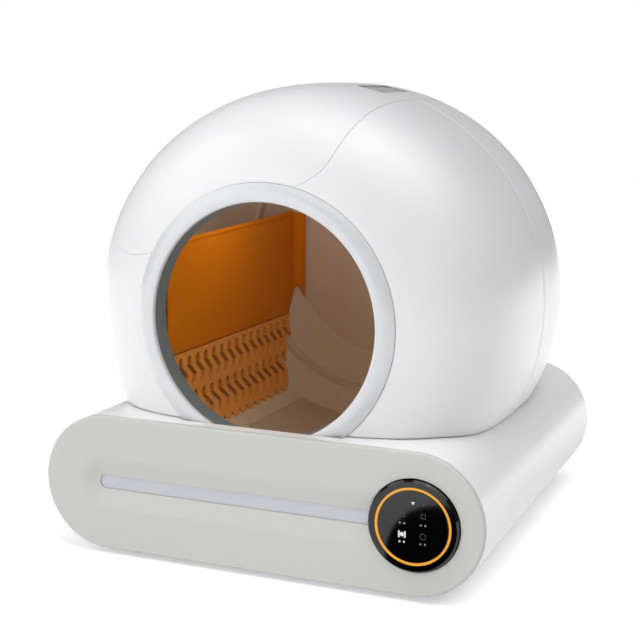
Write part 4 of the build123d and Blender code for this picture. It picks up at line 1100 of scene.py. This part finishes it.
def make_surround():
    """A white surround that gives the object only a weak, slightly blue light."""
    world = bpy.data.worlds.new("studio")
    bpy.context.scene.world = world
    world.use_nodes = True
    tree = world.node_tree
    tree.nodes.clear()
    path = node_of(tree, "ShaderNodeLightPath")
    bright = node_of(tree, "ShaderNodeBackground", {"Color": (1.0, 1.0, 1.0, 1.0), "Strength": 1.0})
    soft = node_of(tree, "ShaderNodeBackground", {"Color": SURROUND_TINT, "Strength": SURROUND_LIGHT})
    seen = node_of(tree, "ShaderNodeMath", operation="MAXIMUM")
    tree.links.new(path.outputs["Is Camera Ray"], seen.inputs[0])
    tree.links.new(path.outputs["Is Transmission Ray"], seen.inputs[1])
    mix = node_of(tree, "ShaderNodeMixShader")
    tree.links.new(seen.outputs["Value"], mix.inputs["Fac"])
    tree.links.new(soft.outputs["Background"], mix.inputs[1])
    tree.links.new(bright.outputs["Background"], mix.inputs[2])
    out = node_of(tree, "ShaderNodeOutputWorld")
    tree.links.new(mix.outputs["Shader"], out.inputs["Surface"])


def view_back():
    """The direction from the target to the camera."""
    flat = math.cos(VIEW_ELEVATION)
    return Vector((math.sin(VIEW_AZIMUTH) * flat, -math.cos(VIEW_AZIMUTH) * flat, math.sin(VIEW_ELEVATION)))


def rounded_share(value):
    """A cosine or sine, drawn out so that its circle becomes the card's superellipse."""
    return math.copysign(abs(value) ** (2 / FLAG_POWER), value)


def make_flag():
    """A black card near the floor that only mirrors see: the glass shows its edge as a curve."""
    eye = VIEW_TARGET + view_back() * VIEW_DISTANCE
    points = []
    for angle in circle_angles(FLAG_SIDES):
        x = FLAG_X + FLAG_REACH * rounded_share(math.cos(angle))
        z = FLAG_Z + FLAG_RISE * rounded_share(math.sin(angle))
        on_glass = display_point(x, z, -DISPLAY_PROUD)
        on_glass.z = max(on_glass.z, FLAG_LOWEST)
        ray = on_glass - eye
        ray.y = -ray.y
        spot = on_glass + ray * (on_glass.z / -ray.z)
        points.append((spot.x, spot.y, FLAG_HEIGHT))
    card = linked("black_card", points, [tuple(range(len(points)))])
    material, _, shader = new_material("card_black")
    shader.inputs["Base Color"].default_value = (FLAG_ALBEDO, FLAG_ALBEDO, FLAG_ALBEDO, 1.0)
    shader.inputs["Roughness"].default_value = 1.0
    shader.inputs["Specular IOR Level"].default_value = 0.0
    card.data.materials.append(material)
    card.visible_camera = False
    card.visible_diffuse = False
    card.visible_shadow = False
    card.visible_transmission = False


def add_light(name, kind, energy, place, towards):
    """A lamp of a kind at a place, which shines along a direction."""
    data = bpy.data.lights.new(name, kind)
    data.energy = energy
    made = bpy.data.objects.new(name, data)
    bpy.context.scene.collection.objects.link(made)
    made.location = place
    made.rotation_euler = towards.to_track_quat("-Z", "Y").to_euler()
    return made


def make_light():
    """The wide, distant lamps, and the soft boxes that only matt surfaces in the drum see."""
    for name, azimuth, elevation, strength in SUNS:
        turn, rise = math.radians(azimuth), math.radians(elevation)
        flat = math.cos(rise)
        source = Vector((math.sin(turn) * flat, -math.cos(turn) * flat, math.sin(rise)))
        made = add_light(name, "SUN", strength, source * SUN_DISTANCE, -source)
        made.data.angle = math.radians(SUN_SPREAD)
    for name, place, target, size, power in SOFT_BOXES:
        spots = [Vector((x, behind(depth), DRUM_Z + rise)) for x, depth, rise in (place, target)]
        made = add_light(name, "AREA", power, spots[0], spots[1] - spots[0])
        made.data.size = size
        made.visible_camera = False
        made.visible_glossy = False


def make_camera():
    """The camera that takes the photograph's view."""
    back = view_back()
    right = (-back).cross(Vector((0, 0, 1))).normalized()
    up = right.cross(-back)
    camera_x = math.cos(VIEW_ROLL) * right + math.sin(VIEW_ROLL) * up
    camera_y = -math.sin(VIEW_ROLL) * right + math.cos(VIEW_ROLL) * up
    data = bpy.data.cameras.new("photo_view")
    data.sensor_width = SENSOR_WIDTH
    data.lens = VIEW_FOCAL_PIXELS / PHOTO_PIXELS * data.sensor_width
    data.clip_start = CLIP_START
    made = bpy.data.objects.new("photo_view", data)
    bpy.context.scene.collection.objects.link(made)
    turn = Matrix((camera_x, camera_y, back)).transposed().to_4x4()
    made.matrix_world = Matrix.Translation(VIEW_TARGET + back * VIEW_DISTANCE) @ turn
    bpy.context.scene.camera = made


dress_frame()
make_front_shells()
make_top_cover()
make_rear_shell()
make_ring()
make_sleeve()
make_drum_front()
make_drum_rear()
make_divider_sheet()
make_divider_bead()
make_lens()
make_light_band()
make_display_marks()
make_floor()
make_surround()
make_flag()
make_light()
make_camera()
bpy.context.scene.view_settings.view_transform = "Standard"
